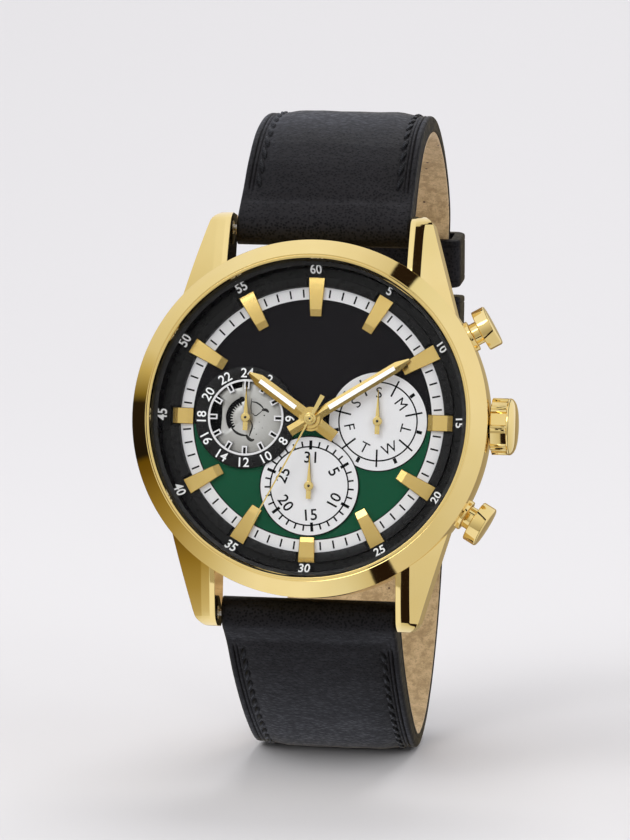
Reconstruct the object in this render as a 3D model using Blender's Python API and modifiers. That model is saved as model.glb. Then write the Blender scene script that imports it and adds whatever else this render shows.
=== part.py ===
"""A multifunction wristwatch on a leather strap, buckled into a loop.

World frame: the dial faces -Y, 12 o'clock is +Z, the crown is on +X, the wrist is on the +Y side. The origin is
the centre of the case back's outer flat face. The head is modelled dial up, in a frame whose z is the height
above the case back, whose y points to 12 o'clock and whose x points to the crown; an empty turns it upright.
Lengths in the constants are millimetres, and MM turns them into metres.
"""

import math

import bmesh
import bpy
from mathutils import Matrix, Vector

MM = 0.001
BIG, MIDDLE, SMALL = 48, 32, 16  # sides of large, middling and small round pieces

# Case and bezel
DIAL_Z = 7.2  # dial surface above the case back
CASE_R = 21.9
CASE_TOP = 9.3
BORE_R = 19.4
MOVEMENT_R = 17.3
BEZEL_R = 22.0
BEZEL_RIDGE_R = 19.85
BEZEL_WALL_R = 19.4
BEZEL_TOP = 11.8
CRYSTAL_R = 19.3
CRYSTAL_LOW, CRYSTAL_HIGH = 9.75, 11.15

# Lugs
LUG_INNER_X = 11.2
LUG_RIDGE_X = 12.35
LUG_TIP_Y = 25.7
LUG_ROOT_Y = 11.0
BAR_Y = 24.0
BAR_Z = 2.4
BAR_R = 0.85
BAR_TIP_R = 0.42
BAR_HOLE_R = 0.5

# Crown and pushers
STEM_Z = 4.6
CROWN_R = 3.5
CROWN_START, CROWN_RIB_END, CROWN_END = 22.15, 24.1, 25.1
CROWN_RIBS = 8
NOTCH_WIDTH, NOTCH_FLOOR_R, CROWN_PHASE = 1.55, 3.2, 99.5
PUSHER_ANGLE = 30.0
PUSHER_CAP_R, PUSHER_NECK_R, PUSHER_STEM_R = 2.5, 1.45, 0.5
PUSHER_CAP_START, PUSHER_CAP_END = 23.5, 25.1
PUSHER_NECK_START, PUSHER_STEM_START = 20.8, 17.6
PUSHER_FLOOR = 19.6  # bottom of the counterbore that the neck slides in

# Dial
DIAL_R = 18.8
TRACK_IN, TRACK_OUT = 14.86, 16.37
FLANGE_R = 19.2
MARKER_LOW, MARKER_TOP = 0.11, 0.52
SUB_DISTANCE = 8.2
WINDOW_R = 4.9
SUB_24H_R = 6.3
RING_24H_R, TAB_24H_R = 4.45, 3.6  # bore of the 24-hour ring, and its tabs' tips
SUB_SMALL_R = 6.05

# Hands: height of the underside above the dial
SMALL_HAND_H, HOUR_HAND_H, MINUTE_HAND_H, SECOND_HAND_H = 0.64, 0.98, 1.38, 1.78
HAND_THICK = 0.26
HOUR_ANGLE, MINUTE_ANGLE, SECOND_ANGLE = 304.8, 57.4, 207.1

# Gear train
MOTION_MODULE = 0.12
MOTION_CENTRES = MOTION_MODULE * 20  # half the teeth of each meshing pair
TRAIN_MODULE = 0.12
FAST_MODULE = 0.09
INTERMEDIATE_ANGLE, ROTOR_ANGLE = 200.0, 250.0
CANNON_TEETH, MINUTE_TEETH, MINUTE_PINION_TEETH, HOUR_TEETH = 10, 30, 8, 32
FOURTH_TEETH, PINION_TEETH, INTERMEDIATE_TEETH = 40, 8, 48

# Strap, in world Y and Z
STRAP_HALF_LUG = 10.85
STRAP_THICK_LUG, STRAP_THICK_TAIL = 4.2, 2.2
LINING = 0.75
SKIN_GAP = 0.06
LINING_START = 3.0
BUCKLE_Y, BUCKLE_Z = 46.0, 9.5
BUCKLE_BAR_R = 0.7
STACK = 4.45  # both strap layers and the gap between them
STRAP_12_ROUTE = [
    (-2.4, 24.0), (0.4, 28.1), (3.2, 32.2), (7.7, 36.3), (14.5, 39.2), (22.5, 40.1), (31.2, 38.3), (38.2, 34.9),
    (42.0, 31.4), (43.0, 27.8), (44.0, 24.2), (45.0, 20.6), (45.7, 16.2), (46.0, 12.5), (BUCKLE_Y, BUCKLE_Z),
]
STRAP_6_ROUTE = [
    (-2.4, -24.0), (0.6, -25.9), (7.2, -30.8), (16.5, -35.8), (26.0, -38.9), (33.2, -37.3), (39.4, -32.8),
    (44.2, -26.6), (47.6, -19.4), (49.5, -11.5), (50.1, -4.0), (49.8, 2.5), (49.3, 7.5), (48.75, 12.0),
    (48.1, 16.5), (47.26, 21.24), (46.26, 24.84), (45.26, 28.44), (44.7, 30.4),
]

for old in list(bpy.data.objects):
    bpy.data.objects.remove(old)

parts = bpy.data.collections.new("wristwatch")
cutters = bpy.data.collections.new("cutters")
cutters.hide_render = True
bpy.context.scene.collection.children.link(parts)
bpy.context.scene.collection.children.link(cutters)

head = bpy.data.objects.new("watch_head", None)
head.rotation_euler = (math.radians(90), 0, 0)
parts.objects.link(head)


# --- Materials -----------------------------------------------------------------------------------------------

def material(name, colour, roughness, metallic=0.0):
    made = bpy.data.materials.new(name)
    made.use_nodes = True
    shader = made.node_tree.nodes["Principled BSDF"]
    shader.inputs["Base Color"].default_value = (*colour, 1.0)
    shader.inputs["Roughness"].default_value = roughness
    shader.inputs["Metallic"].default_value = metallic
    return made


# Each look is a colour, a roughness and how metallic it is.
GOLD = ((0.85, 0.63, 0.24), 0.18, 1.0)
STEEL = ((0.62, 0.62, 0.64), 0.3, 1.0)
GREY_METAL = ((0.6, 0.6, 0.58), 0.35, 1.0)
BRASS = ((0.78, 0.6, 0.3), 0.3, 1.0)
COPPER = ((0.72, 0.36, 0.2), 0.4, 1.0)
GLASS = ((0.9, 0.93, 0.95), 0.02)
DIAL_GREEN = ((0.03, 0.12, 0.06), 0.35)
BLACK_PAINT = ((0.02, 0.02, 0.022), 0.4)
WHITE_PAINT = ((0.85, 0.85, 0.86), 0.4)
RUBBER = ((0.02, 0.02, 0.022), 0.6)
PLASTIC = ((0.75, 0.73, 0.68), 0.6)
LEATHER = ((0.03, 0.028, 0.028), 0.5)
SUEDE = ((0.48, 0.34, 0.2), 0.9)


# --- Builders ------------------------------------------------------------------------------------------------

def place(name, mesh, look, parent=head, at=(0, 0, 0), turn=(0, 0, 0), helper=False):
    """A new object; at is in millimetres and turn in degrees, in the parent's frame."""
    made = bpy.data.objects.new(name, mesh)
    made.location = [v * MM for v in at]
    made.rotation_euler = [math.radians(v) for v in turn]
    made.parent = parent
    if helper:
        made.hide_render = True
        made.display_type = "WIRE"
        cutters.objects.link(made)
    else:
        mesh.materials.append(material(name, *look))
        parts.objects.link(made)
    return made


def turned(name, profile, look, steps, **where):
    """A turned solid. The profile's (radius, z) points run down the outer side; off the axis it closes on itself."""
    mesh = bpy.data.meshes.new(name)
    points = [(r * MM, 0, z * MM) for r, z in profile]
    edges = [(i, i + 1) for i in range(len(points) - 1)]
    if profile[0][0] > 0:
        edges.append((len(points) - 1, 0))
    mesh.from_pydata(points, edges, [])
    made = place(name, mesh, look, **where)
    screw = made.modifiers.new("turn", "SCREW")
    screw.axis = "Z"
    screw.angle = 2 * math.pi
    screw.steps = screw.render_steps = steps
    screw.use_merge_vertices = True
    screw.merge_threshold = 1e-6
    screw.use_smooth_shade = False
    return made


def finished(shape, name, look, where):
    mesh = bpy.data.meshes.new(name)
    shape.to_mesh(mesh)
    shape.free()
    return place(name, mesh, look, **where)


def rod(name, radius, low, high, look=STEEL, steps=SMALL, **where):
    shape = bmesh.new()
    bmesh.ops.create_cone(shape, cap_ends=True, segments=steps, radius1=radius * MM, radius2=radius * MM,
                          depth=(high - low) * MM)
    bmesh.ops.translate(shape, verts=shape.verts, vec=(0, 0, (low + high) / 2 * MM))
    return finished(shape, name, look, where)


def tube(name, inner, outer, low, high, look, steps, **where):
    return turned(name, [(outer, high), (outer, low), (inner, low), (inner, high)], look, steps, **where)


def prism(name, outline, low, high, look=None, inner=None, **where):
    """A flat outline in millimetres, raised from low to high. inner is the outline of a hole."""
    curve = bpy.data.curves.new(name, "CURVE")
    curve.dimensions = "2D"
    curve.fill_mode = "BOTH"
    curve.extrude = (high - low) / 2 * MM
    for loop in filter(None, (outline, inner)):
        spline = curve.splines.new("POLY")
        spline.points.add(len(loop) - 1)
        for point, (x, y) in zip(spline.points, loop):
            point.co = (x * MM, y * MM, 0, 1)
        spline.use_cyclic_u = True
    guide = bpy.data.objects.new(name, curve)
    shape = bmesh.new()
    shape.from_mesh(bpy.data.meshes.new_from_object(guide))
    bpy.data.objects.remove(guide)
    # The curve's caps are loose until they are welded to its walls.
    bmesh.ops.remove_doubles(shape, verts=shape.verts, dist=1e-6)
    bmesh.ops.recalc_face_normals(shape, faces=shape.faces)
    bmesh.ops.translate(shape, verts=shape.verts, vec=(0, 0, (low + high) / 2 * MM))
    return finished(shape, name, look, where)


def loft(name, sections, look, **where):
    """A closed skin over sections of equal count, each a list of (x, y, z) in millimetres."""
    shape = bmesh.new()
    rings = [[shape.verts.new(Vector(p) * MM) for p in section] for section in sections]
    count = len(rings[0])
    for a, b in zip(rings, rings[1:]):
        for i in range(count):
            j = (i + 1) % count
            shape.faces.new((a[i], a[j], b[j], b[i]))
    shape.faces.new(rings[0][::-1])
    shape.faces.new(rings[-1])
    bmesh.ops.recalc_face_normals(shape, faces=shape.faces)
    return finished(shape, name, look, where)


def boolean(made, tool, operation):
    step = made.modifiers.new(tool.name, "BOOLEAN")
    step.operation = operation
    step.solver = "EXACT"
    step.object = tool


def cut(made, *tools):
    for tool in tools:
        boolean(made, tool, "DIFFERENCE")


def join(made, *tools):
    for tool in tools:
        boolean(made, tool, "UNION")


def circle(radius, count, centre=(0, 0), start=0.0):
    turns = [math.radians(start) + 2 * math.pi * i / count for i in range(count)]
    return [(centre[0] + radius * math.cos(a), centre[1] + radius * math.sin(a)) for a in turns]


def rectangle(width, height, centre=(0, 0)):
    x, y = width / 2, height / 2
    return [(centre[0] + a, centre[1] + b) for a, b in ((-x, -y), (x, -y), (x, y), (-x, y))]


def radial(degrees):
    """The turn that lays a z axis along the case radius at an angle anticlockwise from 3 o'clock."""
    return (0, 90, degrees)


# --- Case ----------------------------------------------------------------------------------------------------

def lug_section(y):
    """A lug's cross-section at a distance y from the centre, for the lug at +x, +y."""
    along = (y - LUG_ROOT_Y) / (LUG_TIP_Y - LUG_ROOT_Y)
    outer = 18.0 - 4.4 * along
    top = 9.25 - 3.2 * along ** 2.2
    low = 2.6 - 1.9 * along
    rounding = max(0.0, (y - 24.3) / (LUG_TIP_Y - 24.3))
    top -= 1.7 * rounding ** 2
    outer -= 0.9 * rounding ** 2
    low += 0.9 * rounding ** 2
    ridge = min(LUG_RIDGE_X, outer - 0.4)
    return [
        (LUG_INNER_X, y, low), (outer - 0.7, y, low), (outer, y, low + 0.8),
        (outer, y, top - 0.45 * (outer - ridge) - 0.1), (ridge, y, top), (LUG_INNER_X, y, top - 0.1),
    ]


def build_case():
    case = turned("case_middle", [
        (CASE_R, CASE_TOP), (CASE_R, 3.6), (20.6, 1.0), (20.3, 0.45), (18.75, 0.45), (18.75, 1.15),
        (MOVEMENT_R, 1.15), (MOVEMENT_R, 6.6), (BORE_R, 6.6), (BORE_R, CASE_TOP),
    ], GOLD, BIG)
    stations = [LUG_ROOT_Y, 14.0, 17.0, 20.0, 22.5, 24.3, 25.1, LUG_TIP_Y]
    for side_x in (1, -1):
        for side_y in (1, -1):
            sections = [
                [(side_x * x, side_y * y, z) for x, y, z in lug_section(station)] for station in stations
            ]
            lug = loft(f"lug{side_x}{side_y}", sections, None, helper=True)
            join(case, lug)
    # The lug roots reach inside the bore, which is cleared again.
    cut(case, rod("clear_movement", MOVEMENT_R, 1.1, 6.7, helper=True, steps=BIG))
    cut(case, rod("clear_dial", BORE_R, 6.6, 10.0, helper=True, steps=BIG))
    for side in (1, -1):
        cut(case, rod(f"bar_holes{side}", BAR_HOLE_R, -12.1, 12.1, helper=True, steps=12,
                      at=(0, side * BAR_Y, BAR_Z), turn=(0, 90, 0)))
    cut(case, rod("tube_hole", 1.35, 16.0, 23.0, helper=True, at=(0, 0, STEM_Z), turn=radial(0)))
    for name, angle in (("2", PUSHER_ANGLE), ("4", -PUSHER_ANGLE)):
        cut(case, rod(f"pusher_bore_{name}", PUSHER_NECK_R + 0.1, PUSHER_FLOOR, 24.0, helper=True, steps=20,
                      at=(0, 0, STEM_Z), turn=radial(angle)))
        cut(case, rod(f"pusher_hole_{name}", PUSHER_STEM_R + 0.1, 15.0, 20.0, helper=True, steps=12,
                      at=(0, 0, STEM_Z), turn=radial(angle)))

    turned("bezel", [
        (BEZEL_RIDGE_R, BEZEL_TOP), (BEZEL_R, 9.85), (BEZEL_R, 9.4), (19.7, 9.4), (BEZEL_WALL_R, 9.75),
        (BEZEL_RIDGE_R - 0.12, BEZEL_TOP),
    ], GOLD, BIG)
    turned("crystal", [
        (0, CRYSTAL_HIGH), (CRYSTAL_R - 0.3, CRYSTAL_HIGH), (CRYSTAL_R, CRYSTAL_HIGH - 0.3),
        (CRYSTAL_R, CRYSTAL_LOW), (0, CRYSTAL_LOW),
    ], GLASS, BIG)
    tube("crystal_gasket", 18.9, 19.35, 9.54, 9.7, RUBBER, BIG)
    turned("case_back", [
        (0, 1.1), (16.4, 1.1), (16.4, 1.9), (16.8, 1.9), (16.8, 1.1), (18.6, 1.1), (18.6, 0.3), (18.2, 0),
        (0, 0),
    ], STEEL, BIG)
    tube("case_back_gasket", 16.9, 17.2, 1.2, 1.55, RUBBER, BIG)


def build_crown():
    crown = turned("crown", [
        (0, CROWN_END + 0.15), (1.9, CROWN_END + 0.1), (2.75, CROWN_END - 0.15), (CROWN_R, CROWN_RIB_END),
        (CROWN_R, CROWN_START), (1.6, CROWN_START), (1.6, 24.0), (0, 24.0),
    ], GOLD, MIDDLE, at=(0, 0, STEM_Z), turn=radial(0))
    for i in range(CROWN_RIBS):
        # A flat-bottomed notch between two ribs.
        notch = prism(f"crown_notch_{i}", rectangle(0.9, NOTCH_WIDTH, (NOTCH_FLOOR_R + 0.45, 0)), CROWN_START - 1,
                      CROWN_RIB_END - 0.1, helper=True)
        spin = Matrix.Rotation(math.radians(CROWN_PHASE + (i + 0.5) * 360 / CROWN_RIBS), 4, "Z")
        notch.matrix_local = crown.matrix_basis @ spin
        cut(crown, notch)
    turned("crown_tube", [
        (1.3, 23.2), (1.3, 18.0), (0.9, 18.0), (0.9, 23.2),
    ], STEEL, 20, at=(0, 0, STEM_Z), turn=radial(0))
    turned("winding_stem", [
        (0, 23.95), (0.45, 23.95), (0.45, 12.2), (0.3, 12.2), (0.3, 9.6), (0, 9.6),
    ], STEEL, 12, at=(0, 0, STEM_Z), turn=radial(0))
    tube("clutch_pinion", 0.36, 0.75, 10.2, 11.9, STEEL, 16, at=(0, 0, STEM_Z), turn=radial(0))


def build_pushers():
    for name, angle in (("2", PUSHER_ANGLE), ("4", -PUSHER_ANGLE)):
        turned(f"pusher_{name}", [
            (0, PUSHER_CAP_END), (PUSHER_CAP_R - 0.15, PUSHER_CAP_END), (PUSHER_CAP_R, PUSHER_CAP_END - 0.15),
            (PUSHER_CAP_R, PUSHER_CAP_START), (PUSHER_NECK_R, PUSHER_CAP_START),
            (PUSHER_NECK_R, PUSHER_NECK_START), (PUSHER_STEM_R, PUSHER_NECK_START),
            (PUSHER_STEM_R, PUSHER_STEM_START), (0, PUSHER_STEM_START),
        ], GOLD, 28, at=(0, 0, STEM_Z), turn=radial(angle))


# --- Dial ----------------------------------------------------------------------------------------------------

def marker_outline(hour):
    """Inner radius, outer radius, inner width and outer width of an hour marker."""
    if hour == 3:
        return 14.4, 17.45, 2.0, 2.0
    if hour == 6:
        return 14.5, 17.6, 1.8, 2.1
    if hour == 9:
        return 14.8, 17.3, 2.0, 2.0
    return 12.75, 17.5, 1.4, 2.05


def build_dial():
    dial = turned("dial_plate", [(DIAL_R, DIAL_Z), (DIAL_R, 6.72), (0.95, 6.72), (0.95, DIAL_Z)],
                  DIAL_GREEN, BIG)
    cut(dial, rod("window_hole", WINDOW_R, 6.0, 8.0, helper=True, steps=MIDDLE, at=(-SUB_DISTANCE, 0, 0)))
    for name, x, y in (("day", SUB_DISTANCE, 0), ("date", 0, -SUB_DISTANCE)):
        cut(dial, rod(f"{name}_hole", 0.45, 6.0, 8.0, helper=True, steps=12, at=(x, y, 0)))
    tube("minute_track", TRACK_IN, TRACK_OUT, DIAL_Z + 0.02, DIAL_Z + 0.08, WHITE_PAINT, BIG)

    flange = turned("flange_ring", [
        (FLANGE_R, DIAL_Z + 2.28), (FLANGE_R, DIAL_Z + 0.03), (16.45, DIAL_Z + 0.03), (16.45, DIAL_Z + 0.2),
        (17.7, DIAL_Z + 1.05), (19.05, DIAL_Z + 2.28),
    ], BLACK_PAINT, BIG)
    for hour in range(1, 13):
        inner, outer, inner_width, outer_width = marker_outline(hour)
        place_at = dict(turn=(0, 0, -30 * hour))
        cut(flange, prism(f"pocket_{hour}", rectangle(outer_width + 0.5, 3.0, (0, outer - 1.25)),
                          DIAL_Z - 0.2, DIAL_Z + 3.0, helper=True, **place_at))
        low, top = DIAL_Z + MARKER_LOW, DIAL_Z + MARKER_TOP
        sections = []
        for r, z in ((inner, low + 0.12), (inner + 1.0, top), (outer - 1.0, top), (outer, low + 0.12)):
            half = (inner_width + (outer_width - inner_width) * (r - inner) / (outer - inner)) / 2
            sections.append([(-half, r, low), (half, r, low), (half, r, z), (-half, r, z)])
        loft(f"hour_marker_{hour:02d}", sections, GOLD, **place_at)

    build_small_dials()


def build_small_dials():
    steps = 72
    start = -1.5 * 360 / steps
    ring, tabs = [circle(radius, steps, start=start) for radius in (RING_24H_R, TAB_24H_R)]
    # Twelve tabs reach in from the ring, each one sixth of the way to the next.
    inner = [tabs[i] if i % 6 in (1, 2) else ring[i] for i in range(steps)]
    prism("subdial_24h_ring", circle(SUB_24H_R, steps, start=start), DIAL_Z + 0.3, DIAL_Z + 0.48, BLACK_PAINT,
          inner=inner, at=(-SUB_DISTANCE, 0, 0))
    plate = turned("subdial_24h_plate", [(4.8, 6.95), (4.8, 6.75), (2.0, 6.75), (2.0, 6.95)],
                   GREY_METAL, MIDDLE, at=(-SUB_DISTANCE, 0, 0))
    slot = [(r * math.cos(math.radians(a)), r * math.sin(math.radians(a)))
            for r, angles in ((2.75, range(110, 231, 20)), (1.7, range(230, 109, -20))) for a in angles]
    cut(plate, prism("bean_slot", slot, 6.0, 8.0, helper=True, at=(-SUB_DISTANCE, 0, 0)))
    cut(plate, prism("plate_side", rectangle(2.0, 5.0, (-4.6, 0.3)), 6.0, 8.0, helper=True,
                     at=(-SUB_DISTANCE, 0, 0)))
    tube("subdial_day", 0.4, SUB_SMALL_R, DIAL_Z + 0.02, DIAL_Z + 0.1, WHITE_PAINT, MIDDLE, at=(SUB_DISTANCE, 0, 0))
    tube("subdial_date", 0.4, SUB_SMALL_R, DIAL_Z + 0.15, DIAL_Z + 0.25, WHITE_PAINT, MIDDLE,
         at=(0, -SUB_DISTANCE, 0))


# --- Hands ---------------------------------------------------------------------------------------------------

def hand(name, outline, bore, low, degrees, look=GOLD, hub_r=0.0, at=(0, 0, 0), hub_top=0.0):
    """A flat hand that points along +y before it turns, with a round hub on its arbor."""
    low += DIAL_Z
    made = prism(name, outline, low, low + HAND_THICK, look, at=at, turn=(0, 0, -degrees))
    if hub_r:
        join(made, rod(f"{name}_hub", hub_r, low, low + HAND_THICK + hub_top, helper=True, at=at))
    if bore:
        cut(made, rod(f"{name}_bore", bore, low - 1, low + 2, helper=True, at=at, steps=16))
    return made


def baton(width, tip_width, tip, shoulder, tail):
    half, end = width / 2, tip_width / 2
    return [(half, -tail), (half, shoulder), (end, tip), (-end, tip), (-half, shoulder), (-half, -tail)]


def build_hands():
    hand("hour_hand", baton(1.6, 0.3, 9.6, 8.2, 3.7), 0.83, HOUR_HAND_H, HOUR_ANGLE, hub_r=1.5)
    hand("minute_hand", baton(1.3, 0.3, 14.2, 12.6, 3.0), 0.45, MINUTE_HAND_H, MINUTE_ANGLE, hub_r=1.2)
    second = hand("seconds_hand", baton(0.24, 0.14, 14.5, 12.0, 3.25), 0, SECOND_HAND_H, SECOND_ANGLE,
                  hub_r=0.75, hub_top=0.12)
    join(second, prism("seconds_tail", rectangle(0.62, 2.0, (0, -2.3)), DIAL_Z + SECOND_HAND_H,
                       DIAL_Z + SECOND_HAND_H + HAND_THICK, helper=True, turn=(0, 0, -SECOND_ANGLE)))
    small = [(0.27, -1.6), (0.27, 0.0), (0.07, 3.9), (-0.07, 3.9), (-0.27, 0.0), (-0.27, -1.6)]
    places = {"24h": (-SUB_DISTANCE, 0, 0), "day": (SUB_DISTANCE, 0, 0), "date": (0, -SUB_DISTANCE, 0)}
    for name, at in places.items():
        made = hand(f"hand_{name}", small, 0, SMALL_HAND_H, 0, hub_r=0.6, hub_top=0.05, at=at)
        # Each small hand stands on its own arbor.
        join(made, rod(f"arbor_{name}", 0.18, 5.75, DIAL_Z + SMALL_HAND_H + 0.1, helper=True, steps=12, at=at))


# --- Movement ------------------------------------------------------------------------------------------------

def gear_outline(module, teeth, phase=0.0):
    """Tooth flanks as straight lines; phase is in teeth and puts the middle of a tooth on +x at 0."""
    pitch_r = module * teeth / 2
    points = []
    for i in range(teeth):
        for share, radius in ((-0.3, -1.15), (-0.11, 0.8), (0.11, 0.8), (0.3, -1.15)):
            a = 2 * math.pi * (i + phase + share) / teeth
            r = pitch_r + radius * module
            points.append((r * math.cos(a), r * math.sin(a)))
    return points


def wheel(name, module, teeth, low, high, look, phase=0.0, **where):
    return prism(name, gear_outline(module, teeth, phase), low, high, look, **where)


def meshed(degrees, teeth, other_teeth):
    """The phase that meshes a gear with another of phase 0, from which its centre lies at this angle."""
    towards = degrees / 360.0
    return (teeth * (towards + 0.5) + other_teeth * towards + 0.5) % 1.0


def build_motion_work():
    """The gears under the dial: cannon pinion, minute wheel and hour wheel."""
    minute_at = (0, MOTION_CENTRES, 0)
    cannon = tube("cannon_pinion", 0.24, 0.42, 4.2, DIAL_Z + MINUTE_HAND_H + 0.2, STEEL, 16)
    join(cannon, prism("cannon_teeth", gear_outline(MOTION_MODULE, CANNON_TEETH), 5.75, 6.05, helper=True))
    cut(cannon, rod("cannon_bore", 0.24, 4.0, 10.0, helper=True, steps=16))
    minute = wheel("minute_wheel", MOTION_MODULE, MINUTE_TEETH, 5.78, 5.98, BRASS,
                   meshed(90, MINUTE_TEETH, CANNON_TEETH), at=minute_at)
    join(minute, prism("minute_pinion", gear_outline(MOTION_MODULE, MINUTE_PINION_TEETH), 5.9, 6.42,
                       helper=True, at=minute_at))
    join(minute, rod("minute_pivot", 0.15, 4.9, 6.5, helper=True, steps=12, at=minute_at))
    # Seen from the minute pinion, the hour wheel lies at -90 degrees.
    hour = wheel("hour_wheel", MOTION_MODULE, HOUR_TEETH, 6.2, 6.38, BRASS,
                 meshed(-90, HOUR_TEETH, MINUTE_PINION_TEETH))
    join(hour, rod("hour_pipe", 0.79, 6.2, DIAL_Z + HOUR_HAND_H + 0.2, helper=True))
    cut(hour, rod("hour_pipe_bore", 0.52, 5.0, 10.0, helper=True))
    shown = wheel("wheel_24h", 0.1, 36, 6.76, 6.94, GREY_METAL, at=(-SUB_DISTANCE, 0, 0))
    cut(shown, rod("wheel_24h_bore", 0.22, 6.0, 8.0, helper=True, steps=12, at=(-SUB_DISTANCE, 0, 0)))


def build_train():
    """The gears above the case back: rotor, intermediate wheel and fourth wheel."""
    fourth = wheel("fourth_wheel", TRAIN_MODULE, FOURTH_TEETH, 2.35, 2.55, BRASS)
    join(fourth, rod("seconds_arbor", 0.16, 2.0, DIAL_Z + SECOND_HAND_H - 0.03, helper=True, steps=12))
    distance = TRAIN_MODULE * (FOURTH_TEETH + PINION_TEETH) / 2
    middle = [distance * math.cos(math.radians(INTERMEDIATE_ANGLE)),
              distance * math.sin(math.radians(INTERMEDIATE_ANGLE)), 0]
    between = wheel("intermediate_wheel", FAST_MODULE, INTERMEDIATE_TEETH, 2.95, 3.12, BRASS, at=middle)
    pinion = gear_outline(TRAIN_MODULE, PINION_TEETH, meshed(INTERMEDIATE_ANGLE, PINION_TEETH, FOURTH_TEETH))
    join(between, prism("intermediate_pinion", pinion, 2.28, 3.0, helper=True, at=middle))
    join(between, rod("intermediate_pivot", 0.14, 1.95, 4.7, helper=True, steps=12, at=middle))
    reach = FAST_MODULE * (INTERMEDIATE_TEETH + PINION_TEETH) / 2
    rotor_at = [middle[0] + reach * math.cos(math.radians(ROTOR_ANGLE)),
                middle[1] + reach * math.sin(math.radians(ROTOR_ANGLE)), 0]
    rotor = rod("rotor", 1.1, 3.3, 3.9, STEEL, SMALL, at=rotor_at)
    teeth = gear_outline(FAST_MODULE, PINION_TEETH, meshed(ROTOR_ANGLE, PINION_TEETH, INTERMEDIATE_TEETH))
    join(rotor, prism("rotor_pinion", teeth, 2.88, 3.4, helper=True, at=rotor_at))
    join(rotor, rod("rotor_pivot", 0.12, 1.95, 4.7, helper=True, steps=12, at=rotor_at))
    return middle, rotor_at


def build_plates(middle, rotor_at):
    holder = tube("movement_holder", 15.3, 17.1, 1.95, 6.3, PLASTIC, MIDDLE)
    plate = rod("main_plate", 15.1, 4.15, 5.65, BRASS, MIDDLE)
    cut(plate, rod("plate_centre", 0.6, 3.0, 7.0, helper=True))
    for name, at, hole in (("motion", (0, MOTION_CENTRES, 0), 0.2), ("between", middle, 0.2),
                           ("rotor", rotor_at, 0.18)):
        cut(plate, rod(f"plate_{name}", hole, 3.0, 7.0, helper=True, steps=12, at=at))
    cut(plate, prism("stem_channel", rectangle(7.0, 1.9, (12.5, 0)), 3.5, 5.5, helper=True))
    for name, angle in (("stem", 0), ("pusher_2", PUSHER_ANGLE), ("pusher_4", -PUSHER_ANGLE)):
        cut(holder, rod(f"holder_{name}", 0.75, 14.0, 18.0, helper=True, steps=12, at=(0, 0, STEM_Z),
                        turn=radial(angle)))
    bridge = prism("train_bridge", [(-6.2, -6.4), (-1.6, -6.4), (3.8, -3.2), (3.8, -1.4), (1.6, 2.0), (-2.6, 2.0),
                                     (-6.2, -1.6)],
                   1.98, 2.22, BRASS)
    for name, at, hole in (("fourth", (0, 0, 0), 0.2), ("between", middle, 0.18), ("rotor", rotor_at, 0.16)):
        cut(bridge, rod(f"bridge_{name}", hole, 1.0, 2.6, helper=True, steps=12, at=at))
    for i, at in enumerate(((-5.2, -5.6, 0), (3.0, -2.3, 0))):
        # Pillars stand between the bridge and the main plate.
        join(bridge, rod(f"pillar_{i}", 0.45, 2.1, 4.1, helper=True, steps=12, at=at))
    turned("battery", [(0, 3.5), (3.9, 3.5), (4.1, 3.3), (4.75, 3.3), (4.75, 1.45), (0, 1.45)],
           STEEL, 20, at=(6.5, 6.0, 0))
    coil = turned("motor_coil", [
        (0, 5.2), (1.15, 5.2), (1.15, 4.6), (0.95, 4.6), (0.95, -4.6), (1.15, -4.6), (1.15, -5.2), (0, -5.2),
    ], COPPER, 16, at=(-3.5, -9.6, 2.85), turn=(0, 90, 0))
    join(coil, prism("coil_core", rectangle(13.0, 0.9, (-3.5, -9.6)), 2.6, 3.0, helper=True))


# --- Strap ---------------------------------------------------------------------------------------------------

class Route:
    """A smooth curve through (Y, Z) points, read by arc length."""

    STEPS = 24

    def __init__(self, knots):
        ends = [Vector(knots[0]) * 2 - Vector(knots[1])] + [Vector(k) for k in knots]
        ends.append(Vector(knots[-1]) * 2 - Vector(knots[-2]))
        self.points = []
        for a, b, c, d in zip(ends, ends[1:], ends[2:], ends[3:]):
            for i in range(self.STEPS):
                t = i / self.STEPS
                self.points.append(0.5 * (2 * b + (c - a) * t + (2 * a - 5 * b + 4 * c - d) * t * t
                                          + (3 * b - a - 3 * c + d) * t ** 3))
        self.points.append(Vector(knots[-1]))
        self.reach = [0.0]
        for a, b in zip(self.points, self.points[1:]):
            self.reach.append(self.reach[-1] + (b - a).length)
        self.length = self.reach[-1]

    def at(self, distance):
        """The point and the tangent at a distance; before the start and past the end it runs straight."""
        inside = min(max(distance, 0.0), self.length)
        k = next(i for i, reach in enumerate(self.reach[1:]) if reach >= inside - 1e-9)
        span = self.points[k + 1] - self.points[k]
        tangent = span.normalized()
        point = self.points[k] + tangent * (inside - self.reach[k]) + tangent * (distance - inside)
        return point, tangent


def strap_half(distance, length, tail):
    """Half width of a strap half at a distance from the spring bar."""
    taper = STRAP_HALF_LUG - 0.75 * min(1.0, distance / 70.0)
    left = length - distance
    if tail and left < 9.0:
        taper *= math.sqrt(max(0.0, 1 - ((9.0 - left) / 9.0) ** 2 * 0.92))
    return taper


def strap_thick(distance):
    """Thickness of both layers: full at the lugs, thin from the wrist on."""
    share = min(1.0, max(0.0, distance - 2.0) / 55.0)
    share = share * share * (3 - 2 * share)
    return STRAP_THICK_LUG + (STRAP_THICK_TAIL - STRAP_THICK_LUG) * share ** 0.6


def strap_corners(half, low, high, crown):
    """The corners across a padded strap: its edges lie lower than its middle by the crown."""
    edge = high - crown
    return [(-half, low), (half, low), (half, edge - 0.25), (half - 0.3, edge), (half - 3.0, high),
            (-half + 3.0, high), (-half + 0.3, edge), (-half, edge - 0.25)]


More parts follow.
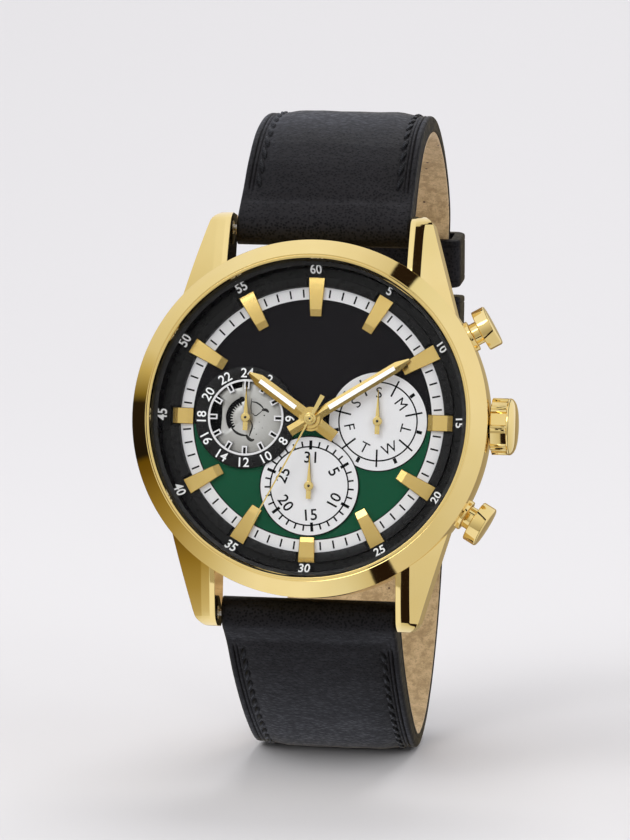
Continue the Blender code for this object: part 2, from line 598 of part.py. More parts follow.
def strap_piece(name, route, side, stations, look, layer, tail, end_radius=0.0):
    """One layer of a strap half. Heights run from the route outwards, and side says which way that is."""
    sections = []
    for s in stations:
        half = strap_half(max(s, 0.0), route.length, tail)
        thick = strap_thick(s)
        low, high = -thick / 2, thick / 2
        crown = 0.45 * min(1.0, max(0.0, s) / 8.0) * (1.0 if s < 60 else 0.5)
        if s < 0:
            low, high = [v * math.sqrt(max(0.02, 1 - (s / low) ** 2)) for v in (low, high)]
        if end_radius:
            past = s - (route.length - 6.0)
            if past > 0:  # the end grows into a round loop about the buckle bar
                grow = min(1.0, past / 6.0)
                low = low + (-end_radius - low) * grow
                high = high + (end_radius - high) * grow
                if s > route.length:
                    shrink = math.sqrt(max(0.03, 1 - ((s - route.length) / end_radius) ** 2))
                    low, high = low * shrink, high * shrink
                crown = 0.0
        if layer == "lining":
            half -= 0.05
            high = low + LINING - SKIN_GAP
            corners = [(-half, low), (half, low), (half, high), (-half, high)]
        else:
            if s >= LINING_START and not (end_radius and s > route.length - 4.0):
                low += LINING
            corners = strap_corners(half, low, high, crown)
        point, tangent = route.at(s)
        outward = Vector((-tangent.y, tangent.x)) * side
        sections.append([(x, *(point + outward * n)) for x, n in corners])
    return loft(name, sections, look, parent=None)


def spread(start, end, count):
    return [start + (end - start) * i / (count - 1) for i in range(count)]


def across(name, radius, y, z, half_length, steps=14, **more):
    """A rod along world X, centred at a world (Y, Z)."""
    return rod(name, radius, -half_length, half_length, helper=True, steps=steps, parent=None, at=(0, y, z),
               turn=(0, 90, 0), **more)


def tail_hole(name, route, distance, width, length):
    """A cutter through the tail, across its thickness."""
    point, tangent = route.at(distance)
    stretch = (length - width) / 2
    outline = [(x, y + (stretch if i < 4 else -stretch)) for i, (x, y) in enumerate(circle(width / 2, 8, start=22.5))]
    made = prism(name, outline, -3, 3, helper=True, parent=None)
    normal = Vector((0, -tangent.y, tangent.x))
    forward = Vector((0, tangent.x, tangent.y))
    made.matrix_world = Matrix.Translation(Vector((0, *point)) * MM) @ Matrix(
        [[1, 0, 0, 0], [0, forward.y, normal.y, 0], [0, forward.z, normal.z, 0], [0, 0, 0, 1]])
    return made


def build_strap():
    buckle_side = Route(STRAP_12_ROUTE)
    tail_side = Route(STRAP_6_ROUTE)
    end_radius = 1.55  # of the loop about the buckle bar
    start = [-2.05, -1.6, -0.8, 0.0, 1.5, LINING_START - 0.05, LINING_START]

    stop = buckle_side.length
    middle = spread(6.0, stop - 6.0, 20)
    ends = [stop - 4.05, stop - 4.0, stop - 2.0, stop, stop + 0.8, stop + 1.3, stop + 1.5]
    upper = strap_piece("strap_12", buckle_side, 1, start + middle + ends, LEATHER, "upper", False, end_radius)
    cut(upper, across("bar_bore_12", BAR_R + 0.1, -BAR_Z, BAR_Y, 14))
    cut(upper, across("buckle_bore", BUCKLE_BAR_R + 0.1, BUCKLE_Y, BUCKLE_Z, 14))
    slot = prism("tongue_slot", rectangle(3.0, 5.2), BUCKLE_Z - 3.0, BUCKLE_Z + 2.3, helper=True, parent=None,
                 at=(0, BUCKLE_Y, 0))
    cut(upper, slot)
    strap_piece("strap_12_lining", buckle_side, 1, [LINING_START + 0.2, *middle], SUEDE, "lining", False)

    stop = tail_side.length
    tip = [stop - 9.0, stop - 7.0, stop - 5.0, stop - 3.0, stop - 1.4, stop - 0.4, stop]
    middle = spread(6.0, stop - 11.0, 28)
    upper = strap_piece("strap_6", tail_side, -1, start + middle + tip, LEATHER, "upper", True)
    cut(upper, across("bar_bore_6", BAR_R + 0.1, -BAR_Z, -BAR_Y, 14))
    lining = strap_piece("strap_6_lining", tail_side, -1, [LINING_START + 0.2, *middle, *tip[:-2]], SUEDE, "lining",
                         True)
    engaged = tail_side_distance(tail_side, 7.9)
    for i in range(-3, 4):
        size = (2.9, 5.4) if i == 0 else (2.0, 2.0)
        hole = tail_hole(f"tail_hole_{i + 3}", tail_side, engaged + 6.5 * i, *size)
        cut(upper, hole)
        cut(lining, hole)
    return buckle_side


def tail_side_distance(route, height):
    """The arc length at which the far stretch of a route reaches a height Z."""
    k = next(i for i in range(len(route.points) - 1, 0, -1) if route.points[i].y < height)
    return route.reach[k]


def rounded(half_x, half_y, radius):
    """A rectangle with round corners, anticlockwise, four points a corner."""
    points = []
    for cx, cy, start in ((1, 1, 0), (-1, 1, 90), (-1, -1, 180), (1, -1, 270)):
        for k in range(4):
            a = math.radians(start + 30 * k)
            points.append((cx * (half_x - radius) + radius * math.cos(a),
                           cy * (half_y - radius) + radius * math.sin(a)))
    return points


def build_keepers(route):
    wall = 1.3
    for name, height, middle in (("keeper_fixed", 6.0, 17.25), ("keeper_free", 6.4, 24.72)):
        distance = next(route.reach[i] for i in range(len(route.points) - 1, 0, -1)
                        if route.points[i].y > middle)
        point, tangent = route.at(distance)
        outward = Vector((-tangent.y, tangent.x))
        centre = point + outward * (STACK / 2 - STRAP_THICK_TAIL / 2)
        inner_x, inner_n = 10.6, STACK / 2 + 0.22
        made = prism(name, rounded(inner_x + wall, inner_n + wall, 1.5), -height / 2, height / 2, LEATHER,
                     inner=rounded(inner_x, inner_n, 0.5), parent=None)
        made.matrix_world = Matrix.Translation(Vector((0, *centre)) * MM) @ Matrix(
            [[1, 0, 0, 0], [0, outward.x, -tangent.x, 0], [0, outward.y, -tangent.y, 0], [0, 0, 0, 1]])


def build_buckle():
    bar_y, bar_z = 52.5, -1.5  # middle of the frame's front bar
    forward = Vector((0, bar_y - BUCKLE_Y, bar_z - BUCKLE_Z))
    reach = forward.length
    forward.normalize()
    normal = Vector((0, -forward.z, forward.y))
    inner, outer = 10.75, 12.5
    outline = [
        (outer, -1.5), (outer, reach - 1.2), (outer - 0.5, reach + 0.2), (outer - 1.8, reach + 0.9),
        (-outer + 1.8, reach + 0.9), (-outer + 0.5, reach + 0.2), (-outer, reach - 1.2), (-outer, -1.5),
        (-inner, -1.5), (-inner, reach - 1.6), (-inner + 0.9, reach - 0.8), (inner - 0.9, reach - 0.8),
        (inner, reach - 1.6), (inner, -1.5),
    ]
    frame = prism("buckle_frame", outline, -0.8, 0.8, GOLD, parent=None)
    frame.matrix_world = Matrix.Translation(Vector((0, BUCKLE_Y, BUCKLE_Z)) * MM) @ Matrix(
        [[1, 0, 0, 0], [0, forward.y, normal.y, 0], [0, forward.z, normal.z, 0], [0, 0, 0, 1]])
    cut(frame, across("frame_bore", 0.55, BUCKLE_Y, BUCKLE_Z, 14))

    turned("buckle_bar", [
        (0, 12.3), (0.5, 12.3), (0.5, 10.6), (BUCKLE_BAR_R, 10.6), (BUCKLE_BAR_R, -10.6), (0.5, -10.6),
        (0.5, -12.3), (0, -12.3),
    ], STEEL, 14, parent=None, at=(0, BUCKLE_Y, BUCKLE_Z), turn=(0, 90, 0))

    path = [(46.6, 9.0), (48.4, 8.5), (50.6, 7.2), (52.4, 4.6), (54.0, -0.2), (54.2, -1.8), (53.7, -3.2)]
    blade = []
    for i, (y, z) in enumerate(path):
        before, after = Vector(path[max(i - 1, 0)]), Vector(path[min(i + 1, len(path) - 1)])
        along = (after - before).normalized()
        side = Vector((-along.y, along.x))
        thick, half = (0.42, 0.95) if i < len(path) - 1 else (0.25, 0.7)
        blade.append([(x, *(Vector((y, z)) + side * n)) for x, n in
                      ((-half, -thick), (half, -thick), (half, thick), (-half, thick))])
    # The blade's points are measured from the hinge, so that the tongue's origin lies on it.
    hinge = Vector((0, BUCKLE_Y, BUCKLE_Z))
    blade = [[tuple(Vector(p) - hinge) for p in section] for section in blade]
    tongue = loft("buckle_tongue", blade, GOLD, parent=None, at=hinge)
    join(tongue, across("tongue_hub", 1.35, BUCKLE_Y, BUCKLE_Z, 1.1, 16))
    cut(tongue, across("tongue_bore", BUCKLE_BAR_R + 0.08, BUCKLE_Y, BUCKLE_Z, 3))


def build_spring_bars():
    for name, side in (("spring_bar_12", 1), ("spring_bar_6", -1)):
        turned(name, [
            (0, 11.9), (BAR_TIP_R, 11.9), (BAR_TIP_R, 10.9), (BAR_R, 10.9), (BAR_R, -10.9), (BAR_TIP_R, -10.9),
            (BAR_TIP_R, -11.9), (0, -11.9),
        ], STEEL, 14, at=(0, side * BAR_Y, BAR_Z), turn=(0, 90, 0))


build_case()
build_crown()
build_pushers()
build_dial()
build_hands()
build_motion_work()
build_plates(*build_train())
build_spring_bars()
build_keepers(build_strap())
build_buckle()

# Each piece takes its finished mesh, shaded smooth except at its edges.
graph = bpy.context.evaluated_depsgraph_get()
done = {piece: bpy.data.meshes.new_from_object(piece.evaluated_get(graph)) for piece in parts.objects
        if piece.type == "MESH"}
for piece, mesh in done.items():
    piece.modifiers.clear()
    piece.data = mesh
    mesh.shade_smooth()
    mesh.set_sharp_from_angle(angle=math.radians(35))
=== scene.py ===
"""The wristwatch's looks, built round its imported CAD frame.

The head is modelled dial up in millimetres, in a frame whose x points to the crown, whose y points to
12 o'clock and whose z is the height above the case back. Each mesh is then turned upright into the world. The
strap and the buckle are modelled in world Y and Z. Texture coordinates are object coordinates, so patterns
have real sizes.
"""

from math import copysign, cos, exp, hypot, pi, radians, sin, sqrt, tan

import bmesh
import bpy
from mathutils import Matrix, Vector


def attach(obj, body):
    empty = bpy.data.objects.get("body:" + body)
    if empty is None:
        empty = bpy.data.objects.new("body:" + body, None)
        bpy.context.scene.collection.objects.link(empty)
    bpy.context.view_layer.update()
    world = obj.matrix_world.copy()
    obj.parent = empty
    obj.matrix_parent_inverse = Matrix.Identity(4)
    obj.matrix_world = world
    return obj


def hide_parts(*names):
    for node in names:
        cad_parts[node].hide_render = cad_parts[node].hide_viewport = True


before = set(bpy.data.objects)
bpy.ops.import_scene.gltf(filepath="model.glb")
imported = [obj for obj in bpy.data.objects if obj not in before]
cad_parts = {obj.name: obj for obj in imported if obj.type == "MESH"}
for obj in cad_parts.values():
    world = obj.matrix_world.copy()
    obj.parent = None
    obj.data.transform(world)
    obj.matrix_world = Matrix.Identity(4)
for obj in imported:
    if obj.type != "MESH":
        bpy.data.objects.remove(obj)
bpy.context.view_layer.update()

MM = 0.001
UPRIGHT = Matrix.Rotation(radians(90), 4, "X")
ROW = Matrix.Identity(4)
DIAL_Z = 7.2
STEM_Z = 4.6
SUB = 8.2  # small dials' centres from the middle
FACE = 256  # steps of a large visible round piece
MINUTE_ANGLE, HOUR_ANGLE, SECOND_ANGLE = 57.4, 304.8, 207.1
TO_X = Matrix.Rotation(radians(90), 4, "Y")  # lays a z axis along x
BANDS_PER_SCALE = 0.314  # a wave texture of scale 1 has bands this far apart
NUMERAL_SHARE = 0.69  # height of a numeral for a font size of 1


# --- Materials -----------------------------------------------------------------------------------------------

class Look:
    """A node material under construction. Patterns read object coordinates, in metres."""

    def __init__(self, name, colour, roughness, metallic=0.0, **sockets):
        self.material = bpy.data.materials.new(name)
        self.material.use_nodes = True
        self.tree = self.material.node_tree
        self.shader = self.tree.nodes["Principled BSDF"]
        self.set("Base Color", (*colour, 1.0))
        self.set("Roughness", roughness)
        self.set("Metallic", metallic)
        for key, value in sockets.items():
            self.set(key.replace("_", " "), value)
        self.coords = self.tree.nodes.new("ShaderNodeTexCoord").outputs["Object"]
        self.normal = None

    def set(self, socket, value):
        self.shader.inputs[socket].default_value = value

    def link(self, a, b):
        self.tree.links.new(a, b)

    def stretch(self, scale):
        node = self.tree.nodes.new("ShaderNodeMapping")
        node.inputs["Scale"].default_value = scale
        self.link(self.coords, node.inputs["Vector"])
        return node.outputs[0]

    def noise(self, size, detail=3.0, rough=0.5, distortion=0.0, coords=None):
        """Noise whose features are about size metres across."""
        node = self.tree.nodes.new("ShaderNodeTexNoise")
        node.inputs["Scale"].default_value = 1 / size
        node.inputs["Detail"].default_value = detail
        node.inputs["Roughness"].default_value = rough
        node.inputs["Distortion"].default_value = distortion
        self.link(coords or self.coords, node.inputs["Vector"])
        return node.outputs["Fac"]

    def cells(self, size, coords=None):
        """Distance from the middle of cells about size metres across."""
        node = self.tree.nodes.new("ShaderNodeTexVoronoi")
        node.inputs["Scale"].default_value = 1 / size
        self.link(coords or self.coords, node.inputs["Vector"])
        return node.outputs["Distance"]

    def slanted_bands(self, size, distortion):
        node = self.tree.nodes.new("ShaderNodeTexWave")
        node.bands_direction = "DIAGONAL"
        node.inputs["Scale"].default_value = BANDS_PER_SCALE / size
        node.inputs["Distortion"].default_value = distortion
        self.link(self.coords, node.inputs["Vector"])
        return node.outputs["Fac"]

    def ramp(self, value, low, high, to_low=0.0, to_high=1.0, smooth=True):
        node = self.tree.nodes.new("ShaderNodeMapRange")
        node.interpolation_type = "SMOOTHSTEP" if smooth else "LINEAR"
        for key, number in (("From Min", low), ("From Max", high), ("To Min", to_low), ("To Max", to_high)):
            node.inputs[key].default_value = number
        self.link(value, node.inputs["Value"])
        return node.outputs[0]

    def math(self, operation, a, b):
        node = self.tree.nodes.new("ShaderNodeMath")
        node.operation = operation
        for socket, value in zip(node.inputs, (a, b)):
            if isinstance(value, (int, float)):
                socket.default_value = value
            else:
                self.link(value, socket)
        return node.outputs[0]

    def mix(self, factor, a, b):
        """A colour between a and b, each a colour or a socket."""
        node = self.tree.nodes.new("ShaderNodeMix")
        node.data_type = "RGBA"
        self.link(factor, node.inputs["Factor"])
        for key, value in (("A", a), ("B", b)):
            socket = [s for s in node.inputs if s.name == key and s.type == "RGBA"][0]
            if isinstance(value, tuple):
                socket.default_value = (*value, 1.0)
            else:
                self.link(value, socket)
        return [s for s in node.outputs if s.type == "RGBA"][0]

    def colour(self, socket):
        self.link(socket, self.shader.inputs["Base Color"])

    def rough(self, value, low, high, to_low, to_high):
        self.link(self.ramp(value, low, high, to_low, to_high), self.shader.inputs["Roughness"])

    def bump(self, height, depth, strength=1.0):
        """Adds relief: height in 0..1 stands for depth metres."""
        node = self.tree.nodes.new("ShaderNodeBump")
        node.inputs["Strength"].default_value = strength
        node.inputs["Distance"].default_value = depth
        self.link(height, node.inputs["Height"])
        if self.normal:
            self.link(self.normal, node.inputs["Normal"])
        self.normal = node.outputs["Normal"]
        self.link(self.normal, self.shader.inputs["Normal"])

    def axis(self, name):
        node = self.tree.nodes.new("ShaderNodeSeparateXYZ")
        self.link(self.coords, node.inputs[0])
        return node.outputs[name]


def metal(name, colour, dark, roughness, grain=(1, 1, 1), size=0.0004, relief=0.000002, vary=0.25):
    """Polished or brushed metal: faint tone changes, a fine grain, and slightly uneven gloss."""
    look = Look(name, colour, roughness, 1.0)
    drift = look.noise(0.006, 2.0)
    look.colour(look.mix(look.ramp(drift, 0.3, 0.7), dark, colour))
    fine = look.noise(size, 4.0, 0.6, coords=look.stretch(grain))
    look.rough(fine, 0.3, 0.7, roughness * (1 - vary), roughness * (1 + vary))
    look.bump(fine, relief, 0.35)
    return look.material


def paint(name, colour, roughness, fleck=0.12, gloss=0.5, glow=0.0):
    """Printed or sprayed paint with a very fine tooth, and an optional emission that is painted light, not a lamp."""
    look = Look(name, colour, roughness, Specular_IOR_Level=gloss)
    # An emission here is painted light: it brightens the paint beyond what the lamps give it.
    if glow:
        look.set("Emission Color", (*colour, 1))
        look.set("Emission Strength", glow)
    fine = look.noise(0.00012, 3.0)
    look.colour(look.mix(look.ramp(fine, 0.3, 0.7), tuple(c * (1 - fleck) for c in colour), colour))
    look.rough(look.noise(0.0008, 3.0), 0.3, 0.7, roughness * 0.85, roughness * 1.15)
    look.bump(fine, 0.000004, 0.3)
    return look.material


GOLD = (0.85, 0.65, 0.265)
GOLD_DARK = (0.83, 0.625, 0.24)


def make_looks():
    return {
        "gold": metal("polished_gold", GOLD, GOLD_DARK, 0.05, relief=0.0000003, vary=0.15),
        "gold_satin": metal("satin_gold", (0.80, 0.58, 0.21), (0.75, 0.53, 0.18), 0.25, (6, 6, 1), 0.0009,
                            0.0000001, 0.06),
        "steel": metal("brushed_steel", (0.6, 0.6, 0.61), (0.52, 0.52, 0.53), 0.28, (1, 1, 12), 0.001),
        "brass": metal("satin_brass", (0.74, 0.56, 0.27), (0.66, 0.48, 0.22), 0.3, (12, 1, 1), 0.001),
        "copper": metal("copper_wire", (0.72, 0.33, 0.17), (0.55, 0.22, 0.1), 0.35, (30, 1, 1), 0.002),
        "grey_metal": metal("grey_metal", (0.56, 0.55, 0.53), (0.5, 0.49, 0.475), 0.4, (1, 1, 1), 0.0005),
        "dark_metal": metal("dark_metal", (0.06, 0.055, 0.05), (0.03, 0.03, 0.03), 0.4),
        "white": paint("white_paint", (0.84, 0.83, 0.85), 0.42, 0.03),
        "black": paint("black_paint", (0.0085, 0.008, 0.009), 0.3, 0.3, 0.22),
        "print": paint("black_print", (0.004, 0.004, 0.005), 0.5, 0.2, 0.1),
        "numerals": paint("white_print", (0.97, 0.97, 0.98), 0.5, 0.02),
        # The lume's emission is painted light that lifts the lume on the hands to a bright white.
        "lume_painted_glow": paint("lume_painted_glow", (0.97, 0.97, 0.95), 0.6, 0.02, glow=0.22),
        "rubber": paint("rubber", (0.02, 0.02, 0.022), 0.7),
        "plastic": paint("ivory_plastic", (0.72, 0.69, 0.62), 0.5),
        "dial": dial_look(),
        "glass": glass_look(),
        "leather": leather_look("black_leather", 1.0),
        "leather_edge": leather_look("edge_paint", 0.35),
        "suede": suede_look(),
        "thread": thread_look(),
    }


def dial_look():
    """Satin black above a straight line a little below the middle, deep green under it."""
    look = Look("dial_paint", (0.02, 0.02, 0.02), 0.38, Specular_IOR_Level=0.08)
    sky = look.ramp(look.axis("Z"), -0.00098, -0.00094, smooth=False)
    fine = look.noise(0.0001, 3.0)
    grain = look.ramp(fine, 0.3, 0.7)
    green = look.mix(grain, (0.006, 0.072, 0.034), (0.0085, 0.09, 0.043))
    black = look.mix(grain, (0.0075, 0.0065, 0.0085), (0.0095, 0.0085, 0.0105))
    look.colour(look.mix(sky, green, black))
    look.rough(look.noise(0.0007, 2.0), 0.3, 0.7, 0.33, 0.45)
    look.bump(fine, 0.000003, 0.3)
    return look.material


def glass_look():
    """Flat crystal: what lies behind shows straight through, under a faint mirror."""
    look = Look("crystal_glass", (1, 1, 1), 0.0)
    nodes, tree = look.tree.nodes, look.tree
    nodes.remove(look.shader)
    clear = nodes.new("ShaderNodeBsdfTransparent")
    clear.inputs[0].default_value = (0.985, 0.99, 0.99, 1)
    mirror = nodes.new("ShaderNodeBsdfGlossy")
    mirror.inputs["Roughness"].default_value = 0.02
    smear = look.noise(0.004, 2.0)
    edge = nodes.new("ShaderNodeFresnel")
    edge.inputs["IOR"].default_value = 1.09
    share = look.math("MULTIPLY", edge.outputs[0], look.ramp(smear, 0.2, 0.8, 0.75, 1.0))
    mixed = nodes.new("ShaderNodeMixShader")
    tree.links.new(share, mixed.inputs[0])
    tree.links.new(clear.outputs[0], mixed.inputs[1])
    tree.links.new(mirror.outputs[0], mixed.inputs[2])
    tree.links.new(mixed.outputs[0], nodes["Material Output"].inputs["Surface"])
    return look.material


def leather_look(name, relief):
    """Fine pebbled calf: small uneven pebbles between pits painted near black as painted shade, and soft creases."""
    look = Look(name, (0.02, 0.019, 0.021), 0.5, Specular_IOR_Level=0.085)
    warp = look.noise(0.0016, 3.0, distortion=0.6)
    pits_with_painted_shade = look.cells(0.00034)
    pebbles = look.cells(0.0007, coords=look.stretch((1.0, 1.3, 0.8)))
    wear = look.ramp(look.noise(0.011, 3.0), 0.35, 0.7)
    base = look.mix(wear, (0.0098, 0.0088, 0.0094), (0.0128, 0.0115, 0.0123))
    # The pits are painted near black: painted shade in the hollows that the bump below sinks.
    look.colour(look.mix(look.ramp(pits_with_painted_shade, 0.18, 0.6), (0.001, 0.0009, 0.001), base))
    look.rough(look.math("ADD", pebbles, warp), 0.5, 1.3, 0.38, 0.55)
    look.bump(look.ramp(pits_with_painted_shade, 0.0, 0.35, 0.0, 1.0), 0.00005, 0.7 * relief)
    look.bump(look.ramp(pebbles, 0.0, 0.7, 1.0, 0.0), 0.00004, 0.5 * relief)
    look.bump(warp, 0.00012, 0.35 * relief)
    return look.material


def suede_look():
    """Tan suede: a soft nap with mottling and a few dark flecks."""
    look = Look("tan_suede", (0.45, 0.32, 0.17), 0.95, Sheen_Weight=0.2, Sheen_Roughness=0.6,
                Specular_IOR_Level=0.1)
    mottle = look.noise(0.0012, 5.0, 0.7, 0.3)
    nap = look.noise(0.00022, 4.0, 0.7)
    base = look.mix(look.ramp(mottle, 0.36, 0.62), (0.42, 0.285, 0.14), (0.66, 0.475, 0.26))
    base = look.mix(look.ramp(nap, 0.3, 0.5), (0.36, 0.245, 0.125), base)
    flecks = look.ramp(look.cells(0.0024), 0.05, 0.09, 1.0, 0.0)
    look.colour(look.mix(flecks, base, (0.1, 0.055, 0.03)))
    look.bump(nap, 0.00008, 0.8)
    look.bump(mottle, 0.0002, 0.5)
    return look.material


def thread_look():
    """Waxed black thread, twisted, its grooves between the plies painted darker as painted shade."""
    look = Look("black_thread", (0.009, 0.0085, 0.0095), 0.5, Specular_IOR_Level=0.15)
    ply = look.slanted_bands(0.00025, 0.6)
    # The low bands of the twist, sunk by the bump below, are painted darker: painted shade in the grooves.
    look.colour(look.mix(ply, (0.001, 0.001, 0.001), (0.0045, 0.0042, 0.0047)))
    look.rough(ply, 0.0, 1.0, 0.4, 0.6)
    look.bump(ply, 0.00005, 0.6)
    return look.material


LOOKS = make_looks()


# --- Mesh tools ----------------------------------------------------------------------------------------------

def in_scene(name, data):
    made = bpy.data.objects.new(name, data)
    bpy.context.scene.collection.objects.link(made)
    return made


def add(name, shape, look, body, replaces=(), place=UPRIGHT, smooth=35, bevel=0.0, segments=2,
        limit=35,
        flat=False):
    """Turns a bmesh in millimetres into a piece that rides on a CAD body."""
    bmesh.ops.transform(shape, matrix=Matrix.Scale(MM, 4) @ place, verts=shape.verts)
    bmesh.ops.recalc_face_normals(shape, faces=shape.faces)
    mesh = bpy.data.meshes.new(name)
    shape.to_mesh(mesh)
    shape.free()
    piece = in_scene(name, mesh)
    mesh.materials.append(LOOKS[look])
    if bevel:
        step = piece.modifiers.new("bevel", "BEVEL")
        step.width = bevel * MM
        step.segments = segments
        step.limit_method = "ANGLE"
        step.angle_limit = radians(limit)
        apply_modifiers(piece)
    piece.data.shade_smooth()
    piece.data.set_sharp_from_angle(angle=radians(smooth))
    if flat:  # the wide faces keep their own direction, and only the bevels between them turn
        piece.modifiers.new("flat", "WEIGHTED_NORMAL").keep_sharp = True
        apply_modifiers(piece)
    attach(piece, body)
    if replaces:
        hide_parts(*replaces)
    return piece


def apply_modifiers(piece):
    graph = bpy.context.evaluated_depsgraph_get()
    mesh = bpy.data.meshes.new_from_object(piece.evaluated_get(graph))
    mesh.name = piece.name
    piece.modifiers.clear()
    piece.data = mesh


def rounded(points, arcs=4):
    """A closed or open profile with its corners rounded: points are (r, z) or (r, z, radius)."""
    made = []
    count = len(points)
    for i, point in enumerate(points):
        here = Vector(point[:2])
        radius = point[2] if len(point) > 2 else 0
        if not radius:
            made.append(tuple(here))
            continue
        before = (Vector(points[i - 1][:2]) - here).normalized()
        after = (Vector(points[(i + 1) % count][:2]) - here).normalized()
        half = before.angle(after) / 2
        reach = radius / tan(half)
        centre = here + (before + after).normalized() * radius / sin(half)
        a, b = here + before * reach - centre, here + after * reach - centre
        for k in range(arcs + 1):
            made.append(tuple(centre + a.lerp(b, k / arcs).normalized() * radius))
    return made


def lathe(profile, steps=FACE, centre=(0, 0)):
    """A closed solid of revolution about z. A profile that starts and ends on the axis is closed by it."""
    shape = bmesh.new()
    rings = []
    for r, z in profile:
        if r < 1e-6:
            rings.append([shape.verts.new((*centre, z))])
        else:
            rings.append([shape.verts.new((centre[0] + r * cos(2 * pi * i / steps),
                                           centre[1] + r * sin(2 * pi * i / steps), z))
                          for i in range(steps)])
    pairs = list(zip(rings, rings[1:]))
    if profile[0][0] > 1e-6:
        pairs.append((rings[-1], rings[0]))
    for a, b in pairs:
        for i in range(steps):
            j = (i + 1) % steps
            corners = [a[i % len(a)], a[j % len(a)], b[j % len(b)], b[i % len(b)]]
            shape.faces.new(list(dict.fromkeys(corners)))
    return shape


def skin(sections, hoop=False):
    """A skin over closed sections of equal count. The ends are capped or, in a hoop, joined."""
    shape = bmesh.new()
    rings = [[shape.verts.new(p) for p in section] for section in sections]
    count = len(rings[0])
    for a, b in zip(rings, rings[1:] + rings[:1] if hoop else rings[1:]):
        for i in range(count):
            j = (i + 1) % count
            shape.faces.new((a[i], a[j], b[j], b[i]))
    if not hoop:
        shape.faces.new(rings[0][::-1])
        shape.faces.new(rings[-1])
    return shape


def slab(outline, low, high):
    return skin([[(x, y, z) for x, y in outline] for z in (low, high)])


def merge(*shapes):
    """One bmesh from several."""
    whole = bmesh.new()
    for shape in shapes:
        mesh = bpy.data.meshes.new("part")
        shape.to_mesh(mesh)
        shape.free()
        whole.from_mesh(mesh)
        bpy.data.meshes.remove(mesh)
    return whole


def moved(shape, matrix):
    bmesh.ops.transform(shape, matrix=matrix, verts=shape.verts)
    return shape


def circle(radius, count, start):
    turns = [radians(start) + 2 * pi * i / count for i in range(count)]
    return [(radius * cos(a), radius * sin(a)) for a in turns]


def polar(radius, degrees, centre=(0, 0)):
    """A point at an angle clockwise from 12 o'clock."""
    a = radians(degrees)
    return (centre[0] + radius * sin(a), centre[1] + radius * cos(a))


def clockwise(degrees, centre=(0, 0), z=0.0):
    return Matrix.Translation((*centre, z)) @ Matrix.Rotation(-radians(degrees), 4, "Z")


def tick(degrees, inner, outer, width, low, high, centre=(0, 0)):
    """A radial bar on the dial."""
    a = width / 2
    return moved(slab([(-a, inner), (a, inner), (a, outer), (-a, outer)], low, high),
                 clockwise(degrees, centre))


def washer(inner, outer, low, high, steps=192):
    return lathe([(outer, high), (outer, low), (inner, low), (inner, high)], steps)


def lettering(text, height, bold=0.0):
    """Numerals as a flat bmesh, centred on the origin, height millimetres tall."""
    curve = bpy.data.curves.new("numeral", "FONT")
    curve.body = text
    curve.align_x, curve.align_y = "CENTER", "CENTER"
    curve.size = height / NUMERAL_SHARE
    curve.offset = bold
    curve.space_character = 1.02
    curve.resolution_u = 3
    guide = bpy.data.objects.new("numeral", curve)
    mesh = bpy.data.meshes.new_from_object(guide)
    shape = bmesh.new()
    shape.from_mesh(mesh)
    bpy.data.objects.remove(guide)
    bpy.data.meshes.remove(mesh)
    bmesh.ops.remove_doubles(shape, verts=shape.verts, dist=1e-5)
    xs, ys = zip(*(v.co.xy for v in shape.verts))
    return moved(shape, Matrix.Translation((-(min(xs) + max(xs)) / 2, -(min(ys) + max(ys)) / 2, 0)))


def numeral(text, degrees, radius, height, z, upright=None, centre=(0, 0), bold=0.0, thick=0.015):
    """A numeral on a circle, its top outwards or, below the middle, inwards."""
    inward = 95 < degrees % 360 < 265 if upright is None else not upright
    shape = lettering(text, height, bold)
    if thick:
        made = bmesh.ops.extrude_face_region(shape, geom=shape.faces[:])
        bmesh.ops.translate(shape, vec=(0, 0, thick), verts=[g for g in made["geom"] if isinstance(g,
                                                                                                   bmesh.types.BMVert)])
    spin = Matrix.Rotation(pi, 4, "Z") if inward else Matrix.Identity(4)
    return moved(shape, clockwise(degrees, centre, z) @ Matrix.Translation((0, radius, 0)) @ spin)


# --- Case ----------------------------------------------------------------------------------------------------

def carve(piece_shape, tools, operation="DIFFERENCE"):
    """A bmesh cut by others, or joined with them."""
    scene = bpy.context.scene.collection
    objects = []
    for shape in (piece_shape, *tools):
        bmesh.ops.recalc_face_normals(shape, faces=shape.faces)
        mesh = bpy.data.meshes.new("carve")
        shape.to_mesh(mesh)
        shape.free()
        objects.append(bpy.data.objects.new("carve", mesh))
        scene.objects.link(objects[-1])
    for tool in objects[1:]:
        step = objects[0].modifiers.new("carve", "BOOLEAN")
        step.operation, step.solver, step.object = operation, "EXACT", tool
    bpy.context.view_layer.update()
    graph = bpy.context.evaluated_depsgraph_get()
    made = bmesh.new()
    mesh = bpy.data.meshes.new_from_object(objects[0].evaluated_get(graph))
    made.from_mesh(mesh)
    for old in objects:
        bpy.data.objects.remove(old)
    return made


def cylinder(radius, low, high, centre=(0, 0), steps=64):
    return lathe([(0, high), (radius, high), (radius, low), (0, low)], steps, centre)


def along_x(angle=0.0, z=STEM_Z):
    """Lays a z axis along the case radius at an angle anticlockwise from 3 o'clock."""
    return (Matrix.Translation((0, 0, z)) @ Matrix.Rotation(radians(angle), 4, "Z")
            @ TO_X)


def lug_section(y):
    """The corners of a lug's section at y, for the lug at +x, +y: underside, flank, bevel, ridge and flat."""
    along = (y - 11.0) / 14.7
    outer = 18.0 - 4.4 * along
    top = 9.25 - 3.2 * along ** 2.2
    low = 2.6 - 1.9 * along
    turn = max(0.0, (y - 24.3) / 1.4)
    top -= 1.55 * turn ** 2.4
    outer -= 0.85 * turn ** 2.4
    low += 0.9 * turn ** 2
    ridge = min(11.85, outer - 0.9)
    facet = min(12.95, outer - 0.4)
    shelf = top - 0.29 * (facet - ridge)
    return [(11.2, y, low), (outer - 0.7, y, low), (outer, y, low + 0.8),
            (outer, y, shelf - 0.5 * (outer - facet)),
            (facet, y, shelf), (ridge, y, top), (11.2, y, top - 0.05)]


